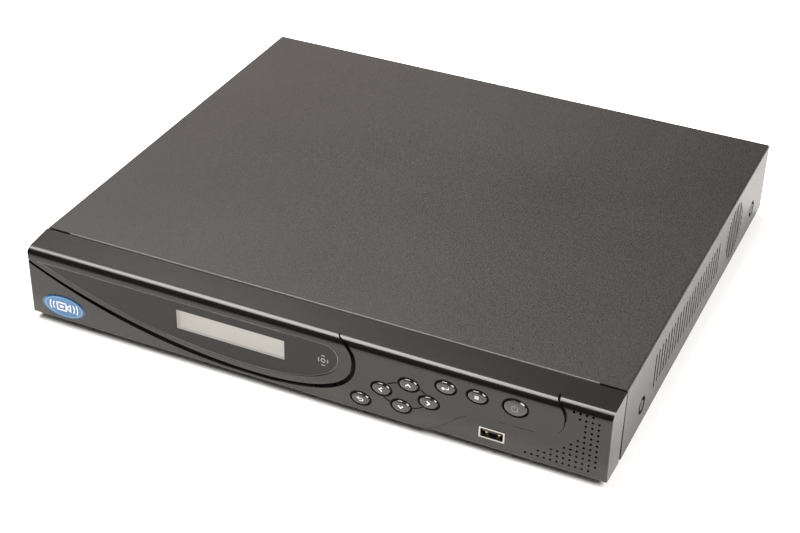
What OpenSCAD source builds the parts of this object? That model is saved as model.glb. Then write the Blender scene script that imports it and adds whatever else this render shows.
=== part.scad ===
// Video recorder: a folded steel case with a moulded plastic front fascia.
// X runs across the front, Y from the front to the rear, and Z is up.
// Z = 0 is the surface under the rubber feet, and X = Y = 0 is the middle of the footprint.
// Each sub-part is drawn from the case's own corner values: x from the middle, y from the
// joint between fascia and cover, and z from the underside of the tray.

/* [Case] */
// Width over the cover's two sides
case_w = 345; // [340:1:420]
// Depth of the cover behind the fascia
case_d = 280; // [272:1:340]
// Height from the tray's underside to the cover's top
case_h = 44.5; // [44:0.5:56]
// Thickness of the folded steel sheet
sheet_t = 1; // [0.8:0.1:1.2]
// Outside radius of the cover's two long bends
bend_r = 1.4; // [1.3:0.1:3]
// Depth of the pressed dimple around a side screw
dimple_depth = 1.5; // [1.5:0.1:2]
// Diameter of that dimple
dimple_d = 10.5; // [9:0.5:13]
// Height of the rear flange of the cover
flange_h = 8; // [7:0.5:9]
// Clearance between sheets that slide past each other
sheet_gap = 0.2; // [0.1:0.05:0.4]

/* [Feet] */
// Height of a rubber foot
foot_h = 4; // [2:0.5:10]
// Diameter of a rubber foot
foot_d = 16; // [10:1:24]
// Distance from the case's edges to the middle of a foot
foot_inset = 26; // [20:1:40]

/* [Side vents] */
// Width of an upright vent slot
slot_w = 1.9; // [1.5:0.1:3]
// Height of an upright vent slot
slot_h = 21.5; // [12:0.5:24]
// Distance between two slots
slot_pitch = 5.5; // [4.5:0.5:10]
// Distance from the fascia joint to the first slot
slot_start = 52; // [46:1:80]
// Distance between the slanted slots in front of the fan
louver_pitch = 2.6; // [2.4:0.1:5]
// Width of a slanted slot
louver_w = 1.2; // [1:0.1:1.8]

/* [Fascia] */
// Depth of the fascia in front of the cover
fascia_d = 21.7; // [20:0.1:28]
// Thickness of the fascia's front wall
front_wall = 3.8; // [3.4:0.1:4.2]
// Thickness of the fascia's top, bottom and end walls
fascia_wall = 2.2; // [1.6:0.1:3]
// Radius of the ridge along the top front edge
ridge_r = 5; // [3:0.5:6]
// Radius of the bottom front edge
chin_r = 1.8; // [1:0.1:2.5]
// Height of the cover above the fascia at the joint
cover_step = 0.4; // [0.2:0.1:0.8]
// Slope of the fascia's top towards the front, in degrees
top_slope = 5; // [0:0.5:8]
// Distance that each end of the fascia tapers in
end_taper = 0.4; // [0:0.2:4]
// Width of the gap behind the fascia's bottom edge
joint_gap = 2.4; // [0.6:0.1:3]
// Depth of the lower right panel behind the rest of the front
panel_step = 1; // [0.6:0.1:1.2]

/* [Display] */
// Width of the display window
window_w = 66.2; // [50:0.1:70]
// Height of the display window
window_h = 12.2; // [10:0.1:14]
// Middle of the window, to the left of the case's middle
window_left = 42.6; // [38:0.1:46]
// Height of the window's middle
window_z = 25; // [24:0.1:26]
// Thickness of the display surround
surround_t = 2.4; // [2:0.1:2.6]
// Thickness of the printed overlay and of its clear window
overlay_t = 0.5; // [0.3:0.1:0.8]
// Clearance around the overlay in its recess
overlay_gap = 0.15; // [0.1:0.05:0.3]

/* [Buttons] */
// Width of a small oval cap
cap_w = 10.7; // [9:0.1:11]
// Height of a small oval cap
cap_h = 7.1; // [6:0.1:7.4]
// Width of the power button's cap
power_w = 12.8; // [11:0.1:14]
// Height of the power button's cap
power_h = 9.6; // [8:0.1:10.4]
// Gap around a cap
cap_gap = 0.5; // [0.2:0.05:0.6]
// Height of a cap's dome
cap_dome = 0.8; // [0.4:0.1:1.2]
// Travel of a button and of the switch plunger behind it
button_travel = 0.5; // [0.2:0.1:0.8]
// Diameter of a switch plunger
plunger_d = 3.4; // [3:0.1:3.8]
// Running clearance around a plunger, on the radius
plunger_gap = 0.08; // [0.04:0.02:0.2]

/* [Front port] */
// Width of the port's metal shell
port_w = 13.2; // [12.8:0.1:13.6]
// Height of the port's metal shell
port_h = 5.8; // [5.6:0.1:6.2]
// Thickness of the port's metal shell
port_t = 0.35; // [0.3:0.05:0.5]
// Middle of the port, to the right of the case's middle
port_x = 109.6; // [108:0.1:112]
// Height of the port's middle
port_z = 9.5; // [9:0.1:10]
// Clearance around the port's flared mouth
port_gap = 0.3; // [0.1:0.05:0.5]

/* [Speaker grille] */
// Diameter of a grille hole
grille_d = 1.4; // [1:0.1:2]
// Distance between two grille holes
grille_pitch = 3.39; // [3:0.01:3.6]

/* [Fan] */
// Side of the square fan frame
fan_size = 40; // [36:1:40]
// Thickness of the fan
fan_t = 10; // [8:0.5:12]
// Bore of the fan frame
fan_bore = 37.6; // [34:0.1:38]
// Clearance between the blade tips and the bore
tip_gap = 0.8; // [0.4:0.1:1.5]
// Distance from the cover's rear edge to the fan's middle
fan_from_rear = 72; // [66:1:80]

/* [Main board] */
// Width of the main board
board_w = 280; // [276:1:290]
// Depth of the main board
board_d = 96; // [90:1:98]
// Thickness of a circuit board
board_t = 1.6; // [1:0.1:2]
// Height of the standoffs under the main board
standoff_h = 5; // [4:0.5:7]

/* [Rear connectors] */
// Outer diameter of a coaxial video jack
coax_d = 9.6; // [9:0.1:10]
// Distance between two coaxial jacks, across and up
coax_pitch = 15.5; // [15:0.5:16]
// Reach of the jacks behind the cover
coax_reach = 9.5; // [8:0.5:12]
// Outer diameter of an audio jack
audio_d = 8.3; // [8:0.1:8.6]
// Bore of the power inlet
inlet_bore = 6.2; // [5.8:0.1:6.6]
// Clearance around a connector in the rear wall
panel_gap = 0.3; // [0.1:0.05:0.5]

/* [Hard drive] */
// Width of the drive
drive_w = 101.6; // [95:0.1:102]
// Length of the drive
drive_l = 147; // [140:1:147]
// Height of the drive
drive_h = 26.1; // [19.8:0.1:26.1]
// Distance from the fascia joint to the drive
drive_y = 10; // [8:1:12]
// Height of the raised seats under the drive
seat_h = 3; // [2.5:0.5:4]

/* [Screws] */
// Diameter of a machine screw
screw_d = 3; // [2.5:0.1:3.5]
// Diameter of a machine screw's head
head_d = 6; // [5:0.1:6.5]
// Height of a machine screw's head
head_h = 1.4; // [1:0.1:1.4]
// Clearance on the radius of a screw hole
hole_gap = 0.15; // [0.05:0.05:0.3]

/* [Hidden] */
$fn = 48;

// Colours of the materials
steel_black = "#45403d";
plastic_black = "#3b3836";
plastic_dark = "#1d1c1c";
bare_steel = "#c9ccd0";
board_green = "#1f5a34";
brass = "#c9a54b";
white_plastic = "#e9e7e0";

// Where the case sits in the part's frame
half_w = case_w / 2;
overall_d = cap_dome + fascia_d + case_d + coax_reach;
joint_y = cap_dome + fascia_d - overall_d / 2;
cut = 1; // how far a cutting shape runs past the face that it cuts

// Tray
tray_half = half_w - sheet_t - dimple_depth;
front_sheet_y = sheet_t + sheet_gap;
front_sheet_back = front_sheet_y + sheet_t;
rear_wall_back = case_d - sheet_t;
rear_wall_front = rear_wall_back - sheet_t;
tray_top = case_h - sheet_t - sheet_gap;
lip_h = 10;
tab_h = 20;
tab_w = 16;
side_screw_z = 13.4;
side_screw_y = [32, case_d - 28];
rear_screw_x = [-120, 0, 120];
rear_screw_z = case_h - flange_h / 2 - sheet_t / 2;
notch_x = half_w - 14.3; // relief notches beside the cover's rolled front edge
notch_w = 1;

// Fan
fan_y = case_d - fan_from_rear;
fan_z = case_h / 2;
fan_x = tray_half - sheet_t - fan_t;
fan_holes = [for (sy = [-1, 1], sz = [-1, 1]) [fan_y, fan_z] + (fan_size / 2 - 4) * [sy, sz]];
fan_seat_t = 1.8; // thickness of the motor seat and its struts
fan_shaft_d = 3;
louver_lean = 55; // how far the slanted slots lean, from level, towards the lower rear
fan_shaft_gap = 0.05; // running clearance on the radius
slot_count = floor((fan_y - fan_size / 2 - 14 - slot_start) / slot_pitch) + 1;

// Fascia planes, from the front to the rear
front_y = -fascia_d;
panel_y = front_y + panel_step;
wall_back = front_y + front_wall;
key_board_y = -10.4;
key_board_back = key_board_y + board_t;
ridge_top = case_h - cover_step;
joint_gap_top = 0.5;
groove_d = 1; // depth of the groove beside the panel

// Switches and buttons: [x, z] of each middle
switch_side = 6;
switch_t = 3.5;
switch_y = key_board_y - switch_t;
plunger_out = 1.5;
stem_y = switch_y - plunger_out;
arrow_x = 61;
arrow_z = 18.9;
arrow_reach_x = 13.5;
arrow_reach_z = 7.6;
arrow_slant = 0.26; // how far the arrow ring leans to the right as it rises
escape_at = [35.6, 8.6];
left_at = [arrow_x - arrow_reach_x, arrow_z];
right_at = [arrow_x + arrow_reach_x, arrow_z];
up_at = [arrow_x + arrow_slant * arrow_reach_z, arrow_z + arrow_reach_z];
down_at = [arrow_x - arrow_slant * arrow_reach_z, arrow_z - arrow_reach_z];
enter_at = [83.6, 31.7];
function_at = [101, 31.7];
power_at = [121.7, 31.7];
small_buttons = [escape_at, left_at, right_at, up_at, down_at, enter_at, function_at];
all_buttons = concat(small_buttons, [power_at]);

// Key board
key_board_left = -90;
key_board_right = 132;
key_board_bottom = 4.4;
key_board_top = 38;
key_posts = [[-85, 8], [-85, 34], [7, 8], [7, 34], [92, 14], [128, 14]];
post_d = 5;
sensor_at = [13.6, 26];
sensor_d = 6;

// Display module
glass_w = window_w + 4;
glass_h = window_h + 5;
glass_t = 2;
glass_y = wall_back + 0.1;
frame_rim = 1.2;
frame_back = glass_y + 4.4;
display_board_w = 78;
display_board_h = 28;

// Badge
badge_w = 28.4;
badge_h = 14.2;
badge_t = 1;
badge_sunk = 0.4;
badge_at = [-half_w + 22.4, 10.2];

// Main board and what stands on it
board_x = -half_w + 17.5;
board_y = rear_wall_front - 0.5 - board_d;
board_z = sheet_t + standoff_h;
board_top = board_z + board_t;
board_holes = [for (x = [8, board_w / 2, board_w - 8], y = [6, board_d - 26])
    [board_x + x, board_y + y]];
processor_at = [board_x + 196, board_y + 30];
cell_at = [board_x + 244, board_y + 26];
cell_d = 20;
cell_t = 3.2;

// Rear connectors: x of each middle
coax_x = board_x + 14;
audio_x = coax_x + 4.3 * coax_pitch;
audio_pitch = 14;
screen_x = audio_x + 42;
digital_x = screen_x + 30;
network_x = digital_x + 24;
rear_port_x = network_x + 22;
terminal_x = rear_port_x + 30;
inlet_x = terminal_x + 30;
coax_body_d = coax_d + 4.4;
coax_bush_d = coax_d + 3.2;
audio_bush_d = audio_d + 2.4;
bush_reach = 0.8; // how far a jack's bush stands behind the rear wall
coax_z = board_top + coax_body_d / 2;
jack_z = board_top + 6;
coax_at = [for (i = [0:3], k = [0:1]) [coax_x + i * coax_pitch, coax_z + k * coax_pitch]];
audio_at = [for (i = [0:1], k = [0:1]) [audio_x + i * audio_pitch, jack_z + k * audio_pitch]];

// Hard drive
drive_x = -half_w + 24;
drive_z = sheet_t + seat_h;
drive_mid = drive_x + drive_w / 2;
drive_seats = [for (s = [-1, 1], y = [41.3, 85.7])
    [drive_mid + s * 47.6, drive_y + drive_l - y]];
drive_skin = 0.6; // thickness of the drive's lid
drive_pocket = 3; // depth of the pocket for the drive's board

// Cables
ribbon_x = processor_at[0] - 1;
ribbon_w = 14;
ribbon_t = 0.9;

// ---------- helpers ----------

// Points of an arc, from angle a0 to angle a1
function arc(c, r, a0, a1, n = 10) =
    [for (i = [0:n]) let (a = a0 + (a1 - a0) * i / n) c + r * [cos(a), sin(a)]];

// Points of a cubic curve with two end points and two handles
function curve(p0, p1, p2, p3, n = 14) =
    [for (i = [0:n]) let (t = i / n, s = 1 - t)
        s * s * s * p0 + 3 * s * s * t * p1 + 3 * s * t * t * p2 + t * t * t * p3];

// Points of an oval that may lean: slant is the sideways shift for each unit of height
function oval(w, h, slant = 0, n = 44) =
    [for (i = [0:n - 1]) let (a = 360 * i / n)
        [w / 2 * cos(a) + slant * h / 2 * sin(a), h / 2 * sin(a)]];

// Points of a rectangle with round corners
function rounded(x0, z0, x1, z1, r, n = 6) = concat(
    arc([x1 - r, z1 - r], r, 0, 90, n), arc([x0 + r, z1 - r], r, 90, 180, n),
    arc([x0 + r, z0 + r], r, 180, 270, n), arc([x1 - r, z0 + r], r, 270, 360, n));

// Outline of a bent strip of thickness t along a path
function strip_normal(path, i) =
    let (d = path[min(i + 1, len(path) - 1)] - path[max(i - 1, 0)]) [-d[1], d[0]] / norm(d);
function strip(path, t) = concat(
    [for (i = [0:len(path) - 1]) path[i] + t / 2 * strip_normal(path, i)],
    [for (i = [len(path) - 1:-1:0]) path[i] - t / 2 * strip_normal(path, i)]);

// Sets the case in the part's frame
module in_case() translate([0, joint_y, foot_h]) children();

// Turns an outline drawn in x and z into a solid between two values of y
module along_y(y0, y1) translate([0, y1, 0]) rotate([90, 0, 0]) linear_extrude(y1 - y0) children();

// Turns an outline drawn in y and z into a solid between two values of x
module along_x(x0, x1) translate([x0, 0, 0]) rotate([90, 0, 90]) linear_extrude(x1 - x0) children();

// Turns an outline drawn in x and y into a solid between two values of z
module along_z(z0, z1) translate([0, 0, z0]) linear_extrude(z1 - z0) children();

// A block between two opposite corners
module block(a, b) translate(a) cube(b - a);

// A rod along Y from y0 to y1, in the middle of at = [x, z]
module rod_y(at, d, y0, y1) translate([at[0], y1, at[1]]) rotate([90, 0, 0]) cylinder(d = d, h = y1 - y0);

// A rod along X from x0 to x1, in the middle of at = [y, z]
module rod_x(at, d, x0, x1) translate([x0, at[0], at[1]]) rotate([0, 90, 0]) cylinder(d = d, h = x1 - x0);

// A rod along Z from z0 to z1, in the middle of at = [x, y]
module rod_z(at, d, z0, z1) translate([at[0], at[1], z0]) cylinder(d = d, h = z1 - z0);

// A screw that points down, with its head's underside at z = 0 and a cross recess
module screw(length, d = screw_d, head = head_d) {
    difference() {
        union() {
            cylinder(d = head, h = head_h);
            translate([0, 0, -length]) cylinder(d = d, h = length + head_h / 2);
        }
        for (a = [0, 90]) {
            rotate(a) translate([-head / 3, -0.3, head_h / 2]) cube([head / 1.5, 0.6, head_h]);
        }
    }
}

// Left and right copies
module both_sides() {
    children();
    mirror([1, 0, 0]) children();
}

// ---------- steel case ----------

// Side of the tray: a low lip with a tall tab behind each side screw
module tray_lip() {
    for (y = side_screw_y) {
        difference() {
            block([tray_half - sheet_t, y - tab_w / 2, 0], [tray_half, y + tab_w / 2, tab_h]);
            rod_x([y, side_screw_z], screw_d, tray_half - 2 * sheet_t, tray_half + cut);
        }
    }
    block([tray_half - sheet_t, front_sheet_y, 0], [tray_half, rear_wall_back, lip_h]);
}

// Duct and screw holes of the upright wall that carries the fan
module fan_wall_holes() {
    rod_x([fan_y, fan_z], fan_bore, tray_half - 2 * sheet_t, tray_half + cut);
    for (p = fan_holes) rod_x(p, screw_d + 2 * hole_gap, tray_half - 2 * sheet_t, tray_half + cut);
}

// Openings in the rear wall, one for each connector
module rear_openings() {
    g = panel_gap;
    for (p = coax_at) rod_y(p, coax_bush_d + 2 * g, rear_wall_front - cut, case_d);
    for (p = audio_at) rod_y(p, audio_bush_d + 2 * g, rear_wall_front - cut, case_d);
    along_y(rear_wall_front - cut, case_d) {
        translate([screen_x, jack_z]) square([32 + 2 * g, 12.6 + 2 * g], center = true);
        translate([digital_x, board_top + 3]) square([15 + 2 * g, 6 + 2 * g], center = true);
        translate([network_x, board_top + 6.75]) square([16 + 2 * g, 13.5 + 2 * g], center = true);
        translate([rear_port_x, board_top + 3.4]) square([port_w + 2 * g, port_h + 2 * g], center = true);
        translate([terminal_x, board_top + 4.5]) square([28 + 2 * g, 9 + 2 * g], center = true);
        translate([inlet_x, board_top + 5.5]) square([9 + 2 * g, 11 + 2 * g], center = true);
    }
}

module base_tray() {
    color(bare_steel) in_case() difference() {
        union() {
            block([-tray_half, front_sheet_y, 0], [tray_half, rear_wall_back, sheet_t]);
            block([-tray_half, front_sheet_y, 0], [tray_half, front_sheet_back, tray_top]);
            block([-tray_half, rear_wall_front, 0], [tray_half, rear_wall_back, tray_top]);
            both_sides() tray_lip();
            block([tray_half - sheet_t, fan_y - fan_size / 2 - 3, 0],
                [tray_half, fan_y + fan_size / 2 + 3, tray_top]);
            for (p = drive_seats) rod_z(p, head_d + 3, 0, drive_z);
        }
        for (p = drive_seats) {
            rod_z(p, head_d + 1, -cut, drive_z - sheet_t); // room for the screw's head
            rod_z(p, screw_d + 2 * hole_gap, 0, drive_z + cut);
        }
        fan_wall_holes();
        rear_openings();
        for (x = rear_screw_x) rod_y([x, rear_screw_z], screw_d, rear_wall_front - cut, case_d);
        for (x = hook_x, z = hook_z) {
            block([x - hook_w / 2 - hook_gap, 0, z - hook_gap],
                [x + hook_w / 2 + hook_gap, front_sheet_back + cut, z + hook_t + hook_barb + hook_gap]);
        }
        block([ribbon_x - ribbon_w / 2 - 3, 0, 14], [ribbon_x + ribbon_w / 2 + 3, 5, 28]);
        for (p = board_holes) rod_z(p, screw_d, -cut, sheet_t + cut);
    }
}

// Outline of the cover's top and sides, seen from the front, moved in by d
function cover_outline(d) = concat(
    [[-half_w + d, -cut * d]],
    arc([-half_w + bend_r, case_h - bend_r], bend_r - d, 180, 90, 6),
    arc([half_w - bend_r, case_h - bend_r], bend_r - d, 90, 0, 6),
    [[half_w - d, -cut * d]]);

// Round grille of slanted slots in front of the fan
module fan_louvers() {
    reach = fan_bore / 2 - 1.4;
    count = floor(reach / louver_pitch);
    for (i = [-count:count]) {
        along = sqrt(reach * reach - i * i * louver_pitch * louver_pitch) - louver_w / 2;
        translate([tray_half, fan_y, fan_z]) rotate([-louver_lean, 0, 0])
            block([0, -along, i * louver_pitch - louver_w / 2],
                [half_w - tray_half + cut, along, i * louver_pitch + louver_w / 2]);
    }
}

// Upright vent slots with round ends, on one side
module side_slots() {
    for (i = [0:slot_count - 1]) {
        y = slot_start + i * slot_pitch;
        along_x(half_w - 2 * sheet_t, half_w + cut)
            polygon(rounded(y - slot_w / 2, case_h / 2 - slot_h / 2, y + slot_w / 2,
                case_h / 2 + slot_h / 2, slot_w / 2 - 0.01, 4));
    }
}

module top_cover() {
    rolled_r = sheet_t - 0.1;
    color(steel_black) in_case() difference() {
        union() {
            along_y(0, case_d) difference() {
                polygon(cover_outline(0));
                polygon(cover_outline(sheet_t));
            }
            block([-half_w + sheet_t / 2, rear_wall_back, case_h - flange_h],
                [half_w - sheet_t / 2, case_d, case_h - sheet_t / 2]);
            along_x(-notch_x, notch_x) polygon(concat(
                [[0, case_h - 3.4], [sheet_t, case_h - 3.4], [sheet_t, case_h - sheet_t / 2]],
                [[rolled_r, case_h - sheet_t / 2]], [[0, case_h - sheet_t / 2]]));
            both_sides() for (y = side_screw_y) {
                rod_x([y, side_screw_z], dimple_d + 2 * sheet_t, tray_half, half_w - sheet_t / 2);
            }
        }
        along_x(-notch_x, notch_x) polygon(concat(
            [[-cut, case_h - rolled_r], [-cut, case_h + cut], [rolled_r, case_h + cut]],
            arc([rolled_r, case_h - rolled_r], rolled_r, 90, 180, 6)));
        both_sides() {
            block([notch_x - notch_w / 2, -cut, case_h - 5], [notch_x + notch_w / 2, 0.7, case_h + cut]);
            block([notch_x, -cut, -cut], [half_w + cut, joint_gap_top, case_h + cut]);
            side_slots();
            for (y = side_screw_y) {
                rod_x([y, side_screw_z], dimple_d, tray_half + sheet_t, half_w + cut);
                rod_x([y, side_screw_z], screw_d + 2 * hole_gap, tray_half - cut, half_w + cut);
            }
        }
        fan_louvers();
        for (x = rear_screw_x) {
            rod_y([x, rear_screw_z], screw_d + 2 * hole_gap, rear_wall_back - cut, case_d + cut);
        }
        for (p = coax_at) rod_y(p, coax_bush_d + 2 * panel_gap, rear_wall_back - cut, case_d + cut);
    }
}

module case_screws() {
    color(bare_steel) in_case() {
        both_sides() for (y = side_screw_y) {
            translate([tray_half + sheet_t, y, side_screw_z]) rotate([0, 90, 0]) screw(5);
        }
        for (x = rear_screw_x) {
            translate([x, case_d, rear_screw_z]) rotate([-90, 0, 0]) screw(5);
        }
    }
}

module feet() {
    color(plastic_dark) in_case() for (sx = [-1, 1], y = [foot_inset, case_d - foot_inset]) {
        translate([sx * (half_w - foot_inset), y, -foot_h]) difference() {
            cylinder(d = foot_d, h = foot_h);
            translate([0, 0, -cut]) cylinder(d = foot_d / 2, h = cut + foot_h / 4);
        }
    }
}

// ---------- front fascia ----------

hook_x = [-130, -30, 64, 140];
hook_z = [5, case_h - 10];
hook_w = 8;
hook_t = 1.6;
hook_barb = 1;
hook_gap = 0.3;

// Side view of the fascia: front is the y of its face, and skin is how far the other walls move in
function fascia_side(front, skin, ridge, chin) = let (
        top = ridge_top - skin / cos(top_slope),
        c = [front + ridge, top - ridge * cos(top_slope)
            + tan(top_slope) * (front + ridge - ridge * sin(top_slope))]) concat(
    arc(c, ridge, 180, 90 + top_slope, 12),
    [[-joint_gap_top, top - joint_gap_top * tan(top_slope)], [-joint_gap, skin]],
    arc([front + chin, skin + chin], chin, 270, 180, 6));

// Plan view of the fascia, with its ends tapering in towards the front
function fascia_plan(front, skin) = let (r = 1.2,
        x0 = half_w - skin, x1 = x0 - end_taper) concat(
    [[-x0, cut], [x0, cut], [x0, 0]],
    arc([x1 - r, front + r], r, 0, -90, 5),
    arc([-x1 + r, front + r], r, -90, -180, 5),
    [[-x0, 0]]);

// The fascia's outer shape with its front face at y = front, moved in by skin elsewhere
module fascia_form(front, skin, ridge = ridge_r, chin = chin_r) {
    intersection() {
        along_x(-half_w - cut, half_w + cut) polygon(fascia_side(front, skin, ridge, chin));
        along_z(-cut, case_h + cut) polygon(fascia_plan(front, skin));
    }
}

// Edge of the display surround: a long sweep from the left end to a round right end
surround_edge = concat(
    [[-half_w - 4, case_h + 4], [-half_w - 4, 38.4]],
    curve([-half_w, 36.4], [-half_w + 42, 16.2], [-72, 4.8], [-30, 4.8], 20),
    curve([-28, 4.8], [4, 4.9], [30.1, 11.5], [30.1, 28.5], 16),
    curve([30.1, 30], [30.1, 34.8], [27.2, 39.4], [21.7, 42], 10),
    [[8, case_h + 4]]);

// Edge of its pocket, which leaves a groove that is widest at the lower right and closes at the ridge
pocket_edge = concat(
    [[-half_w - 6, case_h + 4], [-half_w - 6, 38]],
    curve([-half_w, 34.6], [-half_w + 42, 14.2], [-80, 2.5], [-36, 2.5], 20),
    curve([-34, 2.5], [10, 2.4], [32.6, 10.5], [32.6, 28.5], 16),
    curve([32.6, 30], [32.5, 35.6], [29.6, 40.6], [22.1, 42.3], 10),
    [[8.6, case_h + 4]]);

// Edge of the overlay in the surround
overlay_edge = concat(
    curve([-half_w + 6, 36.6], [-half_w + 46, 19.5], [-84, 8.4], [-30, 8.3], 20),
    curve([-28, 8.3], [2, 8.6], [22.8, 16.5], [23.2, 28.5], 14),
    curve([23.2, 29.5], [23.2, 32.8], [19.8, 37], [13.5, 37], 8),
    [[0, 36.9]]);

// Lower right panel: its upper edge leaves the ridge, turns back and runs down to the chin
panel_edge = concat(
    [[half_w + 4, -4], [half_w + 4, case_h + 4], [136, case_h + 4]],
    curve([137, 46], [142.4, 42.8], [147.6, 38.6], [147.8, 33], 10),
    curve([147.8, 32], [148, 26], [144.6, 20.9], [134, 20.4], 10),
    curve([132, 20.1], [124, 19.8], [114, 19.6], [106, 19.8], 3),
    curve([104, 19.8], [90, 20], [83, 0.4], [69, -0.4], 14),
    [[68, -4]]);

// Groove that runs over the ridge beside the panel's upper edge and fades out below it
groove_edge = concat(
    [[134, case_h + 4]],
    curve([137, 46], [142.4, 42.8], [147.6, 38.6], [147.8, 33], 10),
    [[148, 30]],
    curve([149, 33], [149.4, 38.4], [145.4, 42.4], [139.6, 44.2], 10),
    [[137, case_h + 4]]);

// How far the surround wraps over the ridge
surround_back = front_y + ridge_r + 0.6;

// The space in front of a form whose face is at y = front, within an outline
module skin_of(front, skin, ridge, chin, back) {
    difference() {
        along_y(front_y - cut, back) children();
        fascia_form(front, skin, ridge, chin);
    }
}

// Holes of the speaker grille: they leave a bay free to the left of the middle rows
function grille_hole(j, k) = let (z = 38.8 - grille_pitch * k, e = 7 + grille_pitch * j)
    (e < 15.5 + 0.0535 * (z - 28.6) * (z - 28.6)) && !(j == 0 && (k == 0 || k == 10));

module grille_holes() {
    for (k = [0:10], j = [0:12]) {
        if (grille_hole(j, k)) {
            rod_y([half_w - 7 - grille_pitch * j, 38.8 - grille_pitch * k], grille_d,
                front_y - cut, wall_back + cut);
        }
    }
}

// Openings for the caps and the thin groove that links the four arrow buttons
module button_openings() {
    along_y(front_y - cut, wall_back + cut) {
        for (p = small_buttons) translate(p) polygon(oval(cap_w + 2 * cap_gap, cap_h + 2 * cap_gap));
        translate(power_at) polygon(oval(power_w + 2 * cap_gap, power_h + 2 * cap_gap));
    }
    along_y(front_y - cut, front_y + 0.7) translate([arrow_x, arrow_z]) difference() {
        polygon(oval(2 * arrow_reach_x + 0.7, 2 * arrow_reach_z + 0.7, arrow_slant));
        polygon(oval(2 * arrow_reach_x - 0.7, 2 * arrow_reach_z - 0.7, arrow_slant));
    }
}

// A hook that reaches through the front sheet and catches behind it
module fascia_hook(x, z) {
    along_x(x - hook_w / 2, x + hook_w / 2) polygon([
        [-8, z], [front_sheet_back + 2, z], [front_sheet_back + 2, z + hook_t],
        [front_sheet_back, z + hook_t + hook_barb], [front_sheet_back, z + hook_t],
        [-8, z + hook_t]]);
    along_x(x - hook_w / 2, x + hook_w / 2) polygon(z < case_h / 2
        ? [[-8, fascia_wall - 0.5], [-5, fascia_wall - 0.5], [-5, z + hook_t], [-8, z + hook_t]]
        : [[-8, z], [-5, z], [-5, case_h - 3], [-8, case_h - 3.2]]);
}

module front_fascia() {
    pocket_floor = front_y + surround_t;
    color(plastic_black) in_case() difference() {
        union() {
            difference() {
                fascia_form(front_y, 0);
                fascia_form(wall_back, fascia_wall, 1, 1);
                along_x(-half_w + fascia_wall, half_w - fascia_wall)
                    polygon([[-3, fascia_wall], [-3, case_h - 3.2], [cut, case_h - 3], [cut, fascia_wall]]);
            }
            for (p = key_posts) rod_y(p, post_d, wall_back - cut, key_board_y);
            for (x = hook_x, z = hook_z) fascia_hook(x, z);
        }
        skin_of(pocket_floor, surround_t, 1.6, 0.6, surround_back + 0.1) polygon(pocket_edge);
        skin_of(panel_y, 0, ridge_r, chin_r, panel_y + ridge_r + 1) polygon(panel_edge);
        skin_of(panel_y + groove_d, groove_d, ridge_r - groove_d, chin_r, panel_y + ridge_r + 1)
            polygon(groove_edge);
        button_openings();
        grille_holes();
        along_y(front_y - cut, front_y + badge_sunk) translate(badge_at)
            polygon(oval(badge_w + 0.2, badge_h + 0.2));
        along_y(front_y - cut, wall_back + cut) {
            translate([-window_left, window_z]) square([glass_w - 2, glass_h - 2], center = true);
            translate([port_x, port_z]) square([port_w + 1.1 + 2 * port_gap, port_h + 0.9 + 2 * port_gap],
                center = true);
        }
        rod_y(sensor_at, sensor_d, front_y, wall_back + cut);
        for (p = key_posts) rod_y(p, 2, key_board_y - 5, key_board_y + cut);
    }
}

module display_surround() {
    color(plastic_black) in_case() difference() {
        intersection() {
            along_y(front_y - cut, surround_back) polygon(surround_edge);
            difference() {
                fascia_form(front_y, 0);
                fascia_form(front_y + surround_t, surround_t, 1.6, 0.6);
            }
        }
        along_y(front_y - cut, front_y + overlay_t) polygon(overlay_edge);
        along_y(front_y, wall_back) translate([-window_left, window_z])
            square([window_w, window_h], center = true);
        rod_y(sensor_at, sensor_d, front_y, wall_back);
    }
}

// The overlay is the recess's outline scaled in by its clearance
module display_overlay() {
    mid = [(-half_w + 29) / 2, 22.6];
    shrink = 1 - 2 * overlay_gap / 28;
    color(plastic_dark) in_case() difference() {
        along_y(front_y, front_y + overlay_t) translate(mid) scale(shrink) translate(-mid)
            polygon(overlay_edge);
        along_y(front_y - cut, front_y + overlay_t + cut) translate([-window_left, window_z])
            square([window_w, window_h], center = true);
    }
}

module window_lens() {
    color("#b9bdb6", 0.6) in_case() along_y(front_y, front_y + overlay_t)
        translate([-window_left, window_z]) square([window_w, window_h], center = true);
}

module badge() {
    color("#3f7fb5") in_case() hull() {
        along_y(front_y + badge_sunk - badge_t, front_y + badge_sunk) translate(badge_at)
            polygon(oval(badge_w - 1.6, badge_h - 1.6));
        along_y(front_y + badge_sunk - badge_t * 0.6, front_y + badge_sunk) translate(badge_at)
            polygon(oval(badge_w, badge_h));
    }
}

// ---------- display and key board ----------

module display_glass() {
    color("#c9ccc4") in_case() along_y(glass_y, glass_y + glass_t)
        translate([-window_left, window_z]) square([glass_w, glass_h], center = true);
}

module display_frame() {
    color(bare_steel) in_case() along_y(glass_y, frame_back) translate([-window_left, window_z])
        difference() {
            square([glass_w + 2 * frame_rim, glass_h + 2 * frame_rim], center = true);
            square([glass_w, glass_h], center = true);
        }
}

module display_board() {
    color(board_green) in_case() {
        along_y(frame_back, frame_back + 1.2) translate([-window_left, window_z])
            square([display_board_w, display_board_h - 4], center = true);
        for (i = [0:15]) {
            x = -window_left - 15 * 1.27 + i * 2.54;
            block([x - 0.3, frame_back + 1.2, window_z - 10], [x + 0.3, key_board_y, window_z - 9.4]);
        }
    }
}

module key_board() {
    color(board_green) in_case() difference() {
        along_y(key_board_y, key_board_back) polygon(rounded(key_board_left, key_board_bottom,
            key_board_right, key_board_top, 1.5));
        along_y(key_board_y - cut, key_board_back + cut) translate([port_x, port_z])
            square([port_w + 2 * port_gap, port_h + 2 * port_gap], center = true);
        for (p = key_posts) rod_y(p, 2 + 2 * hole_gap, key_board_y - cut, key_board_back + cut);
    }
}

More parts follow.
